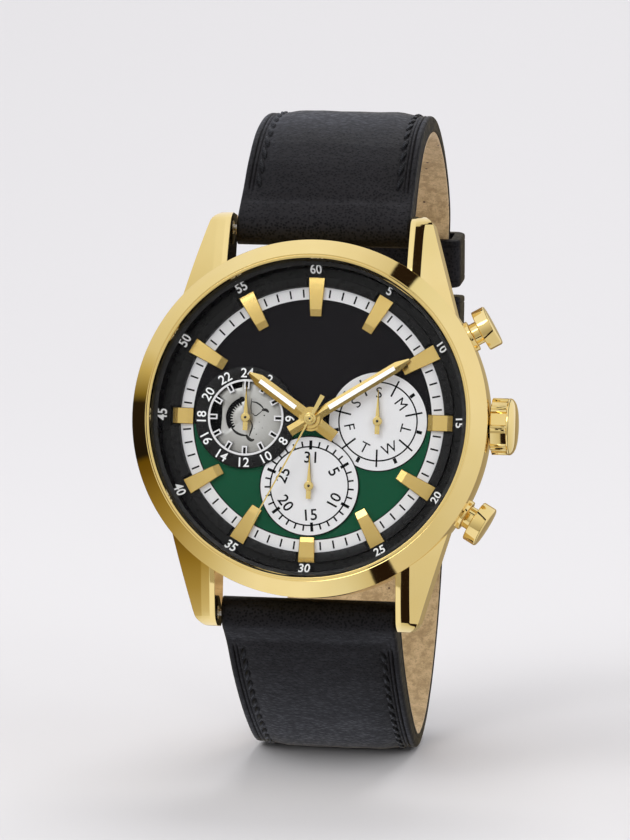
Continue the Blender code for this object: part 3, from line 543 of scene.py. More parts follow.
def build_case():
    band = lathe(rounded([
        (21.9, 9.3, 0.22), (21.9, 3.6, 0.9), (20.6, 1.0, 0.3), (20.3, 0.45, 0.1), (18.75, 0.45),
        (18.75, 1.15),
        (17.3, 1.15), (17.3, 6.6), (19.4, 6.6), (19.4, 9.3),
    ]), 192)
    tools = [moved(cylinder(1.35, 16.0, 23.0), along_x())]
    for angle in (30, -30):
        tools.append(moved(cylinder(1.55, 19.6, 24.0, steps=48), along_x(angle)))
        tools.append(moved(cylinder(0.6, 15.0, 20.0, steps=24), along_x(angle)))
    add("case_band", carve(band, tools), "gold", "case", ["case_middle"], smooth=30)
    for side_x in (1, -1):
        for side_y in (1, -1):
            stations = [13.0, 15.0] + [16.0 + i for i in range(9)] + [24.6, 24.9, 25.15, 25.35, 25.5, 25.6,
                                                                      25.68]
            lug = skin([[(side_x * x, side_y * y, z) for x, y, z in lug_section(s)] for s in stations])
            bar = moved(cylinder(0.5, -12.1, 12.1, steps=24),
                        Matrix.Translation((0, side_y * 24.0, 2.4)) @ TO_X)
            lug = carve(lug, [cylinder(20.6, -1, 12, steps=96), bar])
            bmesh.ops.dissolve_limit(lug, angle_limit=radians(0.4), verts=lug.verts, edges=lug.edges)
            add(f"lug_{'r' if side_x > 0 else 'l'}_{'12' if side_y > 0 else '6'}", lug, "gold", "case",
                bevel=0.1, segments=3, limit=9, smooth=40, flat=True)
    for angle, name in ((30, "2"), (-30, "4")):
        collar = lathe(rounded([(1.95, 22.3, 0.12), (1.95, 21.4), (1.56, 21.4), (1.56, 22.3, 0.05)]), 64)
        add(f"pusher_collar_{name}", moved(collar, along_x(angle)), "gold", "case")
    bezel = rounded([
        (19.58, 11.78, 0.05), (19.88, 11.8, 0.04), (19.98, 11.66), (20.04, 11.66), (20.1, 11.68, 0.03),
        (21.1, 10.83, 2.2), (22.0, 9.9, 0.16), (22.0, 9.4, 0.05), (19.7, 9.4), (19.4, 9.72),
    ])
    add("bezel_ring", lathe(bezel), "gold", "case", ["bezel"], smooth=24)
    crystal = rounded([(0, 11.15), (19.3, 11.15, 0.25), (19.3, 9.75, 0.05), (0, 9.75)])
    add("crystal_pane", lathe(crystal, 192), "glass", "case", ["crystal"])
    build_back()


def build_back():
    back = lathe(rounded([
        (0, 1.1), (16.4, 1.1), (16.4, 1.9), (16.8, 1.9), (16.8, 1.1), (18.6, 1.1), (18.6, 0.3, 0.15),
        (18.15, 0, 0.1), (16.6, 0, 0.06), (16.45, 0.14), (16.1, 0.14), (15.95, 0, 0.06), (12.2, 0, 0.05),
        (12.1, 0.08), (11.9, 0.08), (11.8, 0, 0.05), (0, 0),
    ], 3), 160)
    notches = [moved(slab([(-0.9, 17.1), (0.9, 17.1), (0.9, 19.2), (-0.9, 19.2)], -1, 0.55),
                     clockwise(60 * i + 30))
               for i in range(6)]
    add("back_cover", carve(back, notches), "steel", "case", ["case_back"], smooth=30)


def build_crown():
    def reach(u, turn):
        """Radius of the crown: double ridges between wide flat notches, fading into a round end."""
        step = 360 / 8
        off = abs((turn - 99.5) / step % 1.0 - 0.5) * 2  # 1 at the middle of a rib, 0 at the middle of a notch
        flat = 3.13 / cos(radians(min(off, 0.62) * step / 2))
        rib = 3.5 - 0.09 * max(0.0, 1 - abs(off - 1.0) / 0.10)
        edge = min(1.0, max(0.0, (off - 0.60) / 0.07))
        edge = edge * edge * (3 - 2 * edge)
        return flat + (rib - flat) * edge * u

    steps = 384
    sections = []
    for x, scale, ribbed, cap in (
            (21.98, 0.9, 0.0, 3.2), (22.0, 0.97, 0.6, 3.3), (22.1, 1.0, 1.0, 3.4), (23.93, 1.0, 1.0, 3.4),
            (24.0, 0.995, 0.9, 3.4), (24.05, 1.0, 0.0, 3.47), (24.12, 1.0, 0.0, 3.5), (24.3, 1.0, 0.0, 3.5),
            (24.5, 1.0, 0.0, 3.42), (24.75, 1.0, 0.0, 3.15), (24.93, 1.0, 0.0, 2.8), (25.07, 1.0, 0.0, 2.3),
            (25.16, 1.0, 0.0, 1.6), (25.21, 1.0, 0.0, 0.8)):
        ring = []
        for i in range(steps):
            turn = 360 * i / steps
            radius = reach(ribbed, turn) * scale if x < 24.03 else cap
            a = radians(turn)
            ring.append((radius * cos(a), radius * sin(a), x))
        sections.append(ring)
    crown = skin(sections)
    add("crown_cap", carve(moved(crown, along_x()), [moved(cylinder(1.6, 21.0, 24.0), along_x())]), "gold",
        "crown",
        ["crown"], smooth=32)


def build_pushers():
    for name, angle in (("2", 30), ("4", -30)):
        profile = rounded([
            (0, 25.1), (2.6, 25.05, 0.25), (2.6, 23.3, 0.12), (1.42, 23.3, 0.1), (1.42, 20.8), (0.5, 20.8),
            (0.5, 17.6), (0, 17.6),
        ], 6)
        add(f"pusher_button_{name}", moved(lathe(profile, 96), along_x(angle)), "gold", f"pusher_{name}",
            [f"pusher_{name}"])


# --- Dial ----------------------------------------------------------------------------------------------------

def marker_size(hour):
    """Inner radius, outer radius, inner width and outer width of an hour marker."""
    return {3: (14.4, 17.45, 2.0, 2.0), 6: (14.5, 17.6, 1.8, 2.1), 9: (14.8, 17.3, 2.0, 2.0)}.get(
        hour, (12.75, 17.5, 1.4, 2.05))


def flange_height(r):
    """Height above the dial of the flange's sloped outer band."""
    return 0.95 + (r - 17.7) * 1.33 / 1.35


def build_dial():
    plate = lathe([(18.8, DIAL_Z), (18.8, 6.72), (0.95, 6.72), (0.95, DIAL_Z)], 192)
    tools = [cylinder(4.9, 6, 8, (-SUB, 0), 128), cylinder(0.45, 6, 8, (SUB, 0), 24),
             cylinder(0.45, 6, 8, (0, -SUB), 24)]
    add("dial_face", carve(plate, tools), "dial", "case", ["dial_plate"])
    add("track_outline", washer(14.72, 16.5, DIAL_Z + 0.004, DIAL_Z + 0.018), "print", "case")
    add("track_band", washer(14.86, 16.37, DIAL_Z + 0.018, DIAL_Z + 0.05), "white", "case", ["minute_track"])
    marks = [tick(6 * m, 15.12, 16.12, 0.21, DIAL_Z + 0.05, DIAL_Z + 0.062) for m in range(60) if m % 5]
    add("track_ticks", merge(*marks), "print", "case")

    flange = lathe(rounded([
        (19.2, DIAL_Z + 2.28), (19.2, DIAL_Z + 0.03), (16.45, DIAL_Z + 0.03), (16.45, DIAL_Z + 0.62, 0.08),
        (17.62, DIAL_Z + 0.72, 0.04), (17.7, flange_height(17.7), 0.06), (19.05, DIAL_Z + 2.28),
    ], 3), 240)
    pockets = []
    for hour in range(1, 13):
        inner, outer, inner_width, outer_width = marker_size(hour)
        half = (outer_width + 0.5) / 2
        pockets.append(moved(slab([(-half, outer - 2.75), (half, outer - 2.75), (half, outer + 0.25),
                                   (-half, outer + 0.25)], DIAL_Z + 0.08, DIAL_Z + 3.0),
                                   clockwise(30 * hour)))
    add("flange", carve(flange, pockets), "black", "case", ["flange_ring"], smooth=25)

    numerals = []
    for i in range(12):
        shape = numeral(str(5 * i or 60), 30 * i, 18.34 if 4 <= i <= 8 else 18.46, 1.02, 0.0, thick=0,
                        bold=0.03)
        bmesh.ops.triangulate(shape, faces=shape.faces)
        for v in shape.verts:  # wrap it onto the sloped band
            r = hypot(v.co.x, v.co.y)
            v.co.z = DIAL_Z + flange_height(r) + 0.006
        made = bmesh.ops.extrude_face_region(shape, geom=shape.faces[:])
        for g in made["geom"]:
            if isinstance(g, bmesh.types.BMVert):
                g.co.z += 0.012
        numerals.append(shape)
    add("flange_numerals", merge(*numerals), "numerals", "case")

    for hour in range(1, 13):
        inner, outer, inner_width, outer_width = marker_size(hour)
        low, top = DIAL_Z + 0.11, DIAL_Z + 0.56
        facet = 0.62 if hour in (3, 6, 9) else 0.85
        sections = []
        for r, z in ((inner, low + 0.22), (inner + facet, top), (outer - facet, top), (outer, low + 0.29)):
            half = (inner_width + (outer_width - inner_width) * (r - inner) / (outer - inner)) / 2
            sections.append([(-half, r, low - 0.1), (half, r, low - 0.1), (half, r, z - 0.05),
                             (half - 0.06, r, z),
                             (-half + 0.06, r, z), (-half, r, z - 0.05)])
        add(f"marker_{hour:02d}", moved(skin(sections), clockwise(30 * hour)), "gold_satin", "case",
            [f"hour_marker_{hour:02d}"], smooth=12)


def build_24h():
    centre = (-SUB, 0)
    top = DIAL_Z + 0.48
    shift = Matrix.Translation((-SUB, 0, 0))
    ring = lathe(rounded([(6.3, top, 0.05), (6.3, DIAL_Z + 0.02), (4.62, DIAL_Z + 0.02), (4.62, top, 0.04)],
                         3), 160)
    add("ring_24h", moved(ring, shift), "black", "case", ["subdial_24h_ring"])
    digits = [numeral(str(h or 24), 15 * h, 5.52, 1.12, top + 0.002, upright=not 8 <= h <= 16, centre=centre,
                      bold=0.02)
              for h in range(0, 24, 2)]
    add("numerals_24h", merge(*digits), "numerals", "case")
    # A white wire ring with twelve U-shaped tabs, each round a slot that black slabs beneath it paint dark as painted
    # shade.
    parts = [moved(lathe(rounded([(4.72, top + 0.05, 0.04), (4.72, top - 0.12), (4.46, top - 0.12),
                                  (4.46, top + 0.05, 0.04)], 3), 160), shift)]
    for i in range(12):
        parts.append(moved(slab([(-0.33, 3.52), (0.33, 3.52), (0.33, 4.5), (0.16, 4.5), (0.16, 3.7),
                                 (-0.16, 3.7),
                                 (-0.16, 4.5), (-0.33, 4.5)], top - 0.12, top + 0.03),
                                 clockwise(30 * i, centre)))
    add("tabs_24h", merge(*parts), "white", "case", bevel=0.02, segments=2, limit=40)
    # Black slabs under the tabs' slots, put there as painted shade so that the gaps show dark.
    slot_shades = [moved(slab([(-0.2, 3.66), (0.2, 3.66), (0.2, 4.5), (-0.2, 4.5)], top - 0.2, top - 0.13),
                   clockwise(30 * i, centre)) for i in range(12)]
    add("tab_slot_shades_24h", merge(*slot_shades), "print", "case")

    plate = moved(lathe([(4.8, 6.95), (4.8, 6.89), (0.34, 6.89), (0.34, 6.95)], 128), shift)
    def slot(r, start, end):
        return [polar(r, a) for a in range(start, end, 4 if end > start else -4)]

    bean = moved(slab(slot(2.58, 236, 345) + slot(1.6, 337, 236), 6, 8), shift)
    ends = [cylinder(0.34, 6, 8, polar(2.36, 344, centre), 32),
            cylinder(0.3, 6, 8, polar(1.95, 238, centre), 32)]
    side = moved(slab([(-6, -2.9), (-3.7, -2.6), (-3.15, -1.7), (-3.05, 0.0), (-3.05, 1.4), (-3.1, 2.1),
                       (-3.6, 2.8),
                       (-6, 3.2)], 6, 8), shift)
    corner = moved(slab([(-2.3, 3.3), (-0.7, 3.75), (-0.5, 6), (-3.8, 6)], 6, 8), shift)
    add("plate_24h", carve(plate, [bean, *ends, side, corner]), "grey_metal", "case", ["subdial_24h_plate"],
        bevel=0.02, limit=40)
    lines = []
    for width, points in (
            (0.3, [(-1.85, -1.25), (-1.3, -1.8), (-0.6, -2.12), (0.1, -2.2)]),
            (0.4, [(0.05, -2.1), (0.3, -2.5), (0.7, -2.75), (1.05, -2.65)]),
            (0.2, [(0.6, 2.0), (1.2, 1.9), (1.8, 1.5), (2.2, 0.95)]),
            (0.36, [(1.85, 1.0), (2.35, 1.05), (2.75, 0.75)]), (0.13, [(0.7, 0.6), (1.15, 0.3), (1.9, 0.9)]),
            (0.2, [(0.5, -0.3), (0.75, -1.0), (0.55, -1.8), (0.4, -2.3)]),
            (0.12, [(0.55, 2.4), (0.5, 1.3), (0.6, 0.5)])):
        path = Route(points, 1)
        left, right = [], []
        for k in range(25):
            d = path.length * k / 24
            point, tangent = path.spot(d)
            half = width / 2 * (0.35 + 0.65 * sin(pi * (k + 2) / 28))
            left.append((point.x - tangent.y * half, point.y + tangent.x * half))
            right.append((point.x + tangent.y * half, point.y - tangent.x * half))
        lines.append(moved(slab(left + right[::-1], 6.953, 6.965), shift))
    for x, y, r in ((2.2, 0.35, 0.09), (1.6, -0.5, 0.05), (1.0, -1.3, 0.05), (1.3, -2.0, 0.06),
                    (2.0, -1.2, 0.05)):
        lines.append(cylinder(r, 6.953, 6.968, (x - SUB, y), 24))
    add("engraving_24h", merge(*lines), "dark_metal", "case")
    teeth = 36
    gear = [(r * cos(2 * pi * (i + k) / teeth), r * sin(2 * pi * (i + k) / teeth))
            for i in range(teeth) for k, r in ((-0.3, 1.72), (-0.12, 2.02), (0.12, 2.02), (0.3, 1.72))]
    gear_shape = carve(moved(slab(gear, 6.76, 6.88), shift), [cylinder(0.22, 6, 8, centre, 24)])
    add("gear_24h", gear_shape, "grey_metal", "small_24h", ["wheel_24h"])
    # A black disc under the plate's openings: painted shade in the hollow beneath them.
    shade_disc = moved(lathe([(4.88, 6.74), (4.88, 6.66), (0.3, 6.66), (0.3, 6.74)], 96), shift)
    add("shade_disc_24h", shade_disc, "print", "case")


def build_white_dials():
    for name, centre, z in (("day", (SUB, 0), DIAL_Z + 0.02), ("date", (0, -SUB), DIAL_Z + 0.15)):
        def band(inner, outer, low, high):
            return moved(washer(inner, outer, low, high, 128), Matrix.Translation((*centre, 0)))

        add(f"{name}_outline", band(5.8, 6.19, DIAL_Z + 0.005, z + 0.07), "print", "case")
        add(f"{name}_disc", band(0.4, 6.05, z, z + 0.085), "white", "case", [f"subdial_{name}"])
        low, high = z + 0.085, z + 0.097
        marks = [band(4.75, 4.93, low, high)]
        if name == "day":
            for i, letter in enumerate("SMTWTFS"):
                turn = 360 * i / 7
                marks.append(numeral(letter, turn, 3.58, 1.3, low, not 95 < turn < 270, centre, thick=0.012))
                marks.append(tick(turn, 4.95, 5.62, 0.4, low, high, centre))
                marks.append(tick(turn + 180 / 7, 3.45, 5.6, 0.22, low, high, centre))
        else:
            for i in range(31):
                turn = 360 * i / 31
                if i % 5 or i == 30:
                    marks.append(tick(turn, 4.86, 5.55, 0.21, low, high, centre))
                else:
                    marks.append(tick(turn, 4.5, 5.62, 0.36, low, high, centre))
                    marks.append(numeral(str(i or 31), turn, 3.55, 1.34, low, centre=centre, bold=0.025,
                                         thick=0.012))
        add(f"{name}_print", merge(*marks), "print", "case")


# --- Hands ---------------------------------------------------------------------------------------------------

def facet_hand(width, tip, tail, shoulder, tip_width, low, rise, tail_width):
    """A hand of two facets that meet in a ridge along its middle."""
    sections = []
    for y, w in ((-tail, tail_width), (-tail + 0.01, tail_width), (0, width), (shoulder, width * 0.94),
                 (tip - 0.02, tip_width), (tip, tip_width * 0.7)):
        peak = 0.05 + (rise - 0.05) * min(1.0, w / width)
        sections.append([(-w / 2, y, low), (w / 2, y, low), (w / 2, y, low + 0.04), (0, y, low + peak),
                         (-w / 2, y, low + 0.04)])
    return skin(sections)


def build_hands():
    low = DIAL_Z + 0.98
    hour = carve(facet_hand(1.62, 9.6, 3.7, 8.1, 0.34, low, 0.33, 1.5),
                 [cylinder(1.5, low, low + 0.2, steps=96)], "UNION")
    turn = clockwise(HOUR_ANGLE)
    bore = [cylinder(0.8, low - 1, low + 1, steps=48)]
    add("hour_baton", moved(carve(hour, bore), turn), "gold_satin", "hour", ["hour_hand"],
        smooth=14)
    add("hour_lume", moved(slab([(-0.27, 2.35), (0.27, 2.35), (0.25, 7.9), (-0.25, 7.9)], low + 0.15,
                                low + 0.35), turn),
        "lume_painted_glow", "hour")
    low = DIAL_Z + 1.38
    minute = carve(facet_hand(1.36, 14.2, 3.0, 12.5, 0.3, low, 0.31, 1.36),
                   [cylinder(1.2, low, low + 0.2, steps=96)],
                   "UNION")
    turn = clockwise(MINUTE_ANGLE)
    add("minute_baton", moved(carve(minute, [cylinder(0.45, low - 1, low + 1, steps=48)]), turn),
        "gold_satin", "minute",
        ["minute_hand"], smooth=14)
    add("minute_lume", moved(slab([(-0.28, 2.7), (0.28, 2.7), (0.24, 12.1), (-0.24, 12.1)], low + 0.15,
                                  low + 0.33),
                             turn), "lume_painted_glow", "minute")
    low = DIAL_Z + 1.78
    needle = slab([(0.11, -1.2), (0.08, 14.5), (-0.08, 14.5), (-0.11, -1.2)], low + 0.02, low + 0.16)
    tail = slab([(0.3, -3.25), (0.2, -0.6), (-0.2, -0.6), (-0.3, -3.25)], low + 0.01, low + 0.18)
    hub = lathe(rounded([(0, low + 0.3), (0.2, low + 0.3), (0.2, low + 0.4, 0.03), (0.46, low + 0.38, 0.05),
                         (0.5, low + 0.22), (0.76, low + 0.2, 0.06), (0.8, low + 0.02, 0.03),
                         (0, low + 0.02)]), 96)
    pin = lathe(rounded([(0, low + 0.35), (0.13, low + 0.34, 0.03), (0.13, low + 0.29), (0, low + 0.29)]), 32)
    add("seconds_pin", pin, "dark_metal", "seconds")
    add("seconds_needle", moved(merge(needle, tail, hub), clockwise(SECOND_ANGLE)), "gold", "seconds",
        ["seconds_hand"], smooth=30)
    for name, centre in (("24h", (-SUB, 0)), ("day", (SUB, 0)), ("date", (0, -SUB))):
        low = DIAL_Z + 0.64
        sections = []
        for y, w in ((-1.6, 0.3), (0.0, 0.3), (3.9, 0.05)):
            sections.append([(-w, y, low), (w, y, low), (w, y, low + 0.03), (0, y, low + 0.08),
                             (-w, y, low + 0.03)])
        cap = lathe(rounded([(0, low + 0.24), (0.56, low + 0.23, 0.06), (0.6, low + 0.03, 0.02),
                             (0, low + 0.03)]), 64)
        arbor = cylinder(0.18, 5.75, low + 0.1, steps=24)
        body = f"small_{name}"
        shift = Matrix.Translation((*centre, 0))
        add(f"pointer_{name}", moved(merge(skin(sections), cap, arbor), shift), "gold", body,
            [f"hand_{name}"],
            smooth=20)
        add(f"pivot_{name}", moved(lathe(rounded([(0, low + 0.262), (0.17, low + 0.255, 0.02),
                                                  (0.17, low + 0.2),
                                                  (0, low + 0.2)]), 32), shift), "dark_metal", body)


# --- Strap ---------------------------------------------------------------------------------------------------

STRAP_12_ROUTE = [
    (-2.4, 24.0), (0.4, 28.1), (3.2, 32.2), (7.7, 36.3), (14.5, 39.2), (22.5, 40.1), (31.2, 38.3),
    (38.2, 34.9),
    (42.0, 31.4), (43.0, 27.8), (44.0, 24.2), (45.0, 20.6), (45.7, 16.2), (46.0, 12.5), (46.0, 9.5),
]
STRAP_6_ROUTE = [
    (-2.4, -24.0), (0.6, -25.9), (7.2, -30.8), (16.5, -35.8), (26.0, -38.9), (33.2, -37.3), (39.4, -32.8),
    (44.2, -26.6), (47.6, -19.4), (49.5, -11.5), (50.1, -4.0), (49.8, 2.5), (49.3, 7.5), (48.75, 12.0),
    (48.1, 16.5), (47.26, 21.24), (46.26, 24.84), (45.26, 28.44), (44.7, 30.4),
]
HINGE = Vector((0, 46.0, 9.5))  # middle of the buckle bar
LINING = 0.75
LINING_START = 3.0


class Route:
    """A smooth curve through (Y, Z) points, read by arc length."""

    def __init__(self, knots, side):
        self.side = side
        ends = [Vector(knots[0]) * 2 - Vector(knots[1])] + [Vector(k) for k in knots]
        ends.append(Vector(knots[-1]) * 2 - Vector(knots[-2]))
        self.points = [0.5 * (2 * b + (c - a) * t + (2 * a - 5 * b + 4 * c - d) * t * t
                              + (3 * b - a - 3 * c + d) * t ** 3)
                       for a, b, c, d in zip(ends, ends[1:], ends[2:],
                                             ends[3:]) for t in (i / 24 for i in range(24))]
        self.points.append(Vector(knots[-1]))
        self.reach = [0.0]
        for a, b in zip(self.points, self.points[1:]):
            self.reach.append(self.reach[-1] + (b - a).length)
        self.length = self.reach[-1]

    def spot(self, distance):
        inside = min(max(distance, 0.0), self.length)
        k = next(i for i, reach in enumerate(self.reach[1:]) if reach >= inside - 1e-9)
        tangent = (self.points[k + 1] - self.points[k]).normalized()
        return self.points[k] + tangent * (distance - self.reach[k]), tangent

    def at(self, distance):
        """The point and a tangent averaged over a short stretch, so that facets don't show."""
        point = self.spot(distance)[0]
        return point, (self.spot(distance + 0.3)[1] + self.spot(distance - 0.3)[1]).normalized()

    def lift(self, distance, x, n):
        """The row position at a distance along, x across and n outwards."""
        point, tangent = self.at(distance)
        outward = Vector((-tangent.y, tangent.x)) * self.side
        return Vector((x, *(point + outward * n)))

    def far(self, height):
        """The distance at which the far stretch reaches a height Z."""
        return next(self.reach[i] for i in range(len(self.points) - 1, 0, -1)
                    if (self.points[i].y < height) == (self.side < 0))

    def axes(self, distance):
        """A matrix at a distance: its x across, y along and z outwards."""
        point, tangent = self.at(distance)
        outward = Vector((-tangent.y, tangent.x)) * self.side
        made = Matrix(((1, 0, 0), (0, tangent.x, outward.x), (0, tangent.y, outward.y))).to_4x4()
        made.translation = (0, *point)
        return made


def ease(value, low, high):
    share = min(1.0, max(0.0, (value - low) / (high - low)))
    return share * share * (3 - 2 * share)


def strap_half(distance, length, tail):
    taper = 10.85 - 0.75 * min(1.0, max(0.0, distance) / 70.0)
    left = length - distance
    if tail and left < 9.0:
        taper *= sqrt(max(0.0, 1 - ((9.0 - left) / 9.0) ** 2 * 0.92))
    return taper


def strap_thick(distance):
    return 4.2 - 2.0 * ease(distance, 2.0, 57.0) ** 0.6


def strap_crown(distance):
    """How far the padded middle stands above the edges."""
    return 0.4 * ease(distance, -1.0, 7.0) * (1.0 - 0.5 * ease(distance, 48, 66))


def surface(distance, x, half, edge, high):
    """Height of the leather at x across: a padded middle, a stitched channel and two pressed lines."""
    inwards = half - abs(x)
    pad = ease(inwards, 1.6, 4.6)
    height = edge + (high - edge) * pad
    if inwards < 0.42:
        height -= 0.42 - sqrt(max(0.0, 0.42 ** 2 - (0.42 - inwards) ** 2))
    lined = ease(distance, 3.6, 5.2)
    for line, depth in ((0.8, 0.22), (1.28, 0.18)):
        height -= depth * lined * exp(-((inwards - line) / 0.1) ** 2)
    height -= 0.12 * lined * exp(-((inwards - 1.95) / 0.32) ** 2)
    height -= 0.16 * exp(-((distance - 3.3) / 0.7) ** 2) * ease(inwards, 0.0, 1.0)
    height += 0.05 * sin(0.9 * x + 0.31 * distance) * sin(0.37 * distance - 0.5 * x) * pad
    return height


def across_steps(half):
    """Positions across the strap, close together at the edges."""
    near = [0.0, 0.05, 0.12, 0.22, 0.34, 0.46, 0.6, 0.7, 0.8, 0.9, 1.02, 1.16, 1.28, 1.4, 1.55, 1.75, 1.95,
            2.15, 2.4,
            2.8, 3.3, 3.9, 4.6]
    middle = [half - 4.6 - (half - 4.6) * i / 5 for i in range(1, 6)]
    right = [half - step for step in near] + middle
    return right + [-x for x in right[-2::-1]]


def strap_half_mesh(route, layer, tail, end_radius=0.0):
    length = route.length
    stations = [-2.05, -1.95, -1.75, -1.4, -1.0, -0.5, 0.0, 0.7, 1.4, 2.1, 2.6, 3.0]
    if layer == "lining":
        stations = [LINING_START + 0.2]
    stop = length - (1.4 if layer == "lining" else 0.0) if tail else length - (4.0 if layer == "lining" else -1.5)
    count = round((stop - stations[-1]) / 0.75)
    first = stations[-1]
    stations += [first + (stop - first) * i / count for i in range(1, count + 1)]
    sections = []
    for s in stations:
        half = strap_half(s, length, tail)
        thick = strap_thick(s)
        low, high = -thick / 2, thick / 2
        crown = strap_crown(s)
        if s < 0:
            low, high = [v * sqrt(max(0.02, 1 - (s / low) ** 2)) for v in (low, high)]
        past = s - (length - 6.0)
        if end_radius and past > 0:
            grow = min(1.0, past / 6.0)
            low, high = low + (-end_radius - low) * grow, high + (end_radius - high) * grow
            if s > length:
                shrink = sqrt(max(0.03, 1 - ((s - length) / end_radius) ** 2))
                low, high = low * shrink, high * shrink
            crown = 0.0
        if layer == "lining":
            half -= 0.06
            low, high = low, low + LINING - 0.03
            profile = [(-half, low + 0.12), (-half + 0.12, low), (half - 0.12, low), (half, low + 0.12),
                       (half, high), (-half, high)]
        else:
            if not (end_radius and s > length - 4.0):
                low += LINING * ease(s, LINING_START - 0.2, LINING_START)
            profile = [(-half, low), (half, low)]
            profile += [(x, max(low + 0.02, surface(s, x, half, high - crown,
                                                    high))) for x in across_steps(half)]
        sections.append([tuple(route.lift(s, x, n)) for x, n in profile])
    return skin(sections)


def stitch_row(route, first, last, offset, pitch=2.3):
    """Slanted twisted stitches along both edges, each sunk at its ends."""
    shapes = []
    count = int((last - first) / pitch)
    for side in (-1, 1):
        for i in range(count):
            s = first + pitch * (i + 0.5)
            thick = strap_thick(s)
            crown = strap_crown(s)
            half = strap_half(s, route.length, False)
            sections = []
            for k in range(15):
                t = k / 14
                x = side * (half - offset) + 0.5 * (t - 0.5) * side * 1.15
                d = s + (t - 0.5) * pitch * 1.08
                n = surface(s, side * (half - offset), half, thick / 2 - crown, thick / 2)
                n += 0.26 * sin(pi * min(1.0, max(0.0, t))) ** 0.6 - 0.16
                radius = 0.27 * (0.55 + 0.45 * sin(pi * t) ** 0.5)
                ring = []
                for j in range(10):
                    a = 2 * pi * j / 10
                    swell = radius * (1 + 0.16 * cos(3 * a + 9 * t))
                    ring.append(tuple(route.lift(d, x + swell * cos(a), n + swell * sin(a))))
                sections.append(ring)
            shapes.append(skin(sections))
    return merge(*shapes)


def edge_band(route, first, last, tail):
    """The painted edge between the leather and the lining, proud by a hair."""
    shapes = []
    for side in (-1, 1):
        sections = []
        count = round((last - first) / 1.0)
        for i in range(count + 1):
            s = first + (last - first) * i / count
            half = strap_half(s, route.length, tail)
            low = -strap_thick(s) / 2
            sections.append([tuple(route.lift(s, side * (half + x), low + n)) for x, n in
                             ((-0.1, 0.55), (0.03, 0.6), (0.07, 0.75), (0.07, 0.95), (0.03, 1.1),
                              (-0.1, 1.15))])
        shapes.append(skin(sections))
    return merge(*shapes)


def build_strap():
    upper_route = Route(STRAP_12_ROUTE, 1)
    tail_route = Route(STRAP_6_ROUTE, -1)

    def bar(radius, y, z):
        return moved(cylinder(radius, -14, 14, steps=48), Matrix.Translation((0, y, z)) @ TO_X)

    shape = strap_half_mesh(upper_route, "upper", False, 1.55)
    slot = slab([(-1.5, -2.6), (1.5, -2.6), (1.5, 2.6), (-1.5, 2.6)], -3.0, 2.3)
    shape = carve(shape, [bar(0.95, -2.4, 24.0), bar(0.8, HINGE.y, HINGE.z),
                          moved(slot, Matrix.Translation(HINGE))])
    top = add("strap_upper_12", shape, "leather", "case", ["strap_12"], ROW, smooth=50)
    lining_12 = add("lining_12", strap_half_mesh(upper_route, "lining", False), "suede", "case",
                    ["strap_12_lining"],
                    ROW, smooth=50)

    shape = strap_half_mesh(tail_route, "upper", True)
    engaged = tail_route.far(7.9)

    def holes():
        made = []
        for i in range(-3, 4):
            width, length = (2.9, 5.4) if i == 0 else (2.0, 2.0)
            outline = [(x, y + ((length - width) / 2 if y > 0 else -(length - width) / 2))
                       for x, y in circle(width / 2, 32, start=5.6)]
            made.append(moved(slab(outline, -3, 3), tail_route.axes(engaged + 6.5 * i)))
        return made

    shape = carve(shape, [bar(0.95, -2.4, -24.0), *holes()])
    bottom = add("strap_upper_6", shape, "leather", "case", ["strap_6"], ROW, smooth=50)
    shape = carve(strap_half_mesh(tail_route, "lining", True), holes())
    lining_6 = add("lining_6", shape, "suede", "case", ["strap_6_lining"], ROW, smooth=50)

    add("stitches_12", stitch_row(upper_route, 5.2, 60.0, 1.95), "thread", "case",
        place=ROW)
    add("stitches_6", stitch_row(tail_route, 5.2, tail_route.length - 14.0, 1.95), "thread", "case",
        place=ROW)
    add("edge_paint_12", edge_band(upper_route, 3.4, upper_route.length - 6.4, False), "leather_edge", "case",
        place=ROW)
    add("edge_paint_6", edge_band(tail_route, 3.4, tail_route.length - 9.0, False), "leather_edge", "case",
        place=ROW)
    build_keepers(upper_route)


def round_box(half_x, half_y, radius, steps=8):
    return [(cx * (half_x - radius) + radius * cos(radians(start + 90 * k / steps)),
             cy * (half_y - radius) + radius * sin(radians(start + 90 * k / steps)))
            for cx, cy, start in ((1, 1, 0), (-1, 1, 90), (-1, -1, 180),
                                  (1, -1, 270)) for k in range(steps + 1)]


def build_keepers(route):
    for name, height, middle, body in (("fixed", 6.0, 17.25, "case"), ("free", 6.4, 24.72, "keeper")):
        distance = route.far(middle)
        point, tangent = route.at(distance)
        outward = Vector((-tangent.y, tangent.x))
        centre = point + outward * 1.125
        turn = Matrix(((1, 0, 0), (0, outward.x, -tangent.x), (0, outward.y, -tangent.y))).to_4x4()
        turn.translation = (0, *centre)
        loops = []
        rim = [(0, -0.25), (0.1, -0.07), (0.3, 0.0), (0.75, 0.0), (0.85, -0.09), (0.95, 0.0)]
        for z, grow in [(-height / 2 + step, g) for step, g in rim] + [(height / 2 - step, g) for step,
                                                                       g in rim[::-1]]:
            loops.append([(x, y, z) for x, y in round_box(11.9 + grow, 3.745 + grow, 1.5 + grow)])
        for z in (height / 2, -height / 2):
            loops.append([(x, y, z) for x, y in round_box(10.6, 2.445, 0.5)])
        add(f"keeper_loop_{name}", moved(skin(loops, hoop=True), turn), "leather", body, [f"keeper_{name}"],
            ROW, smooth=40)


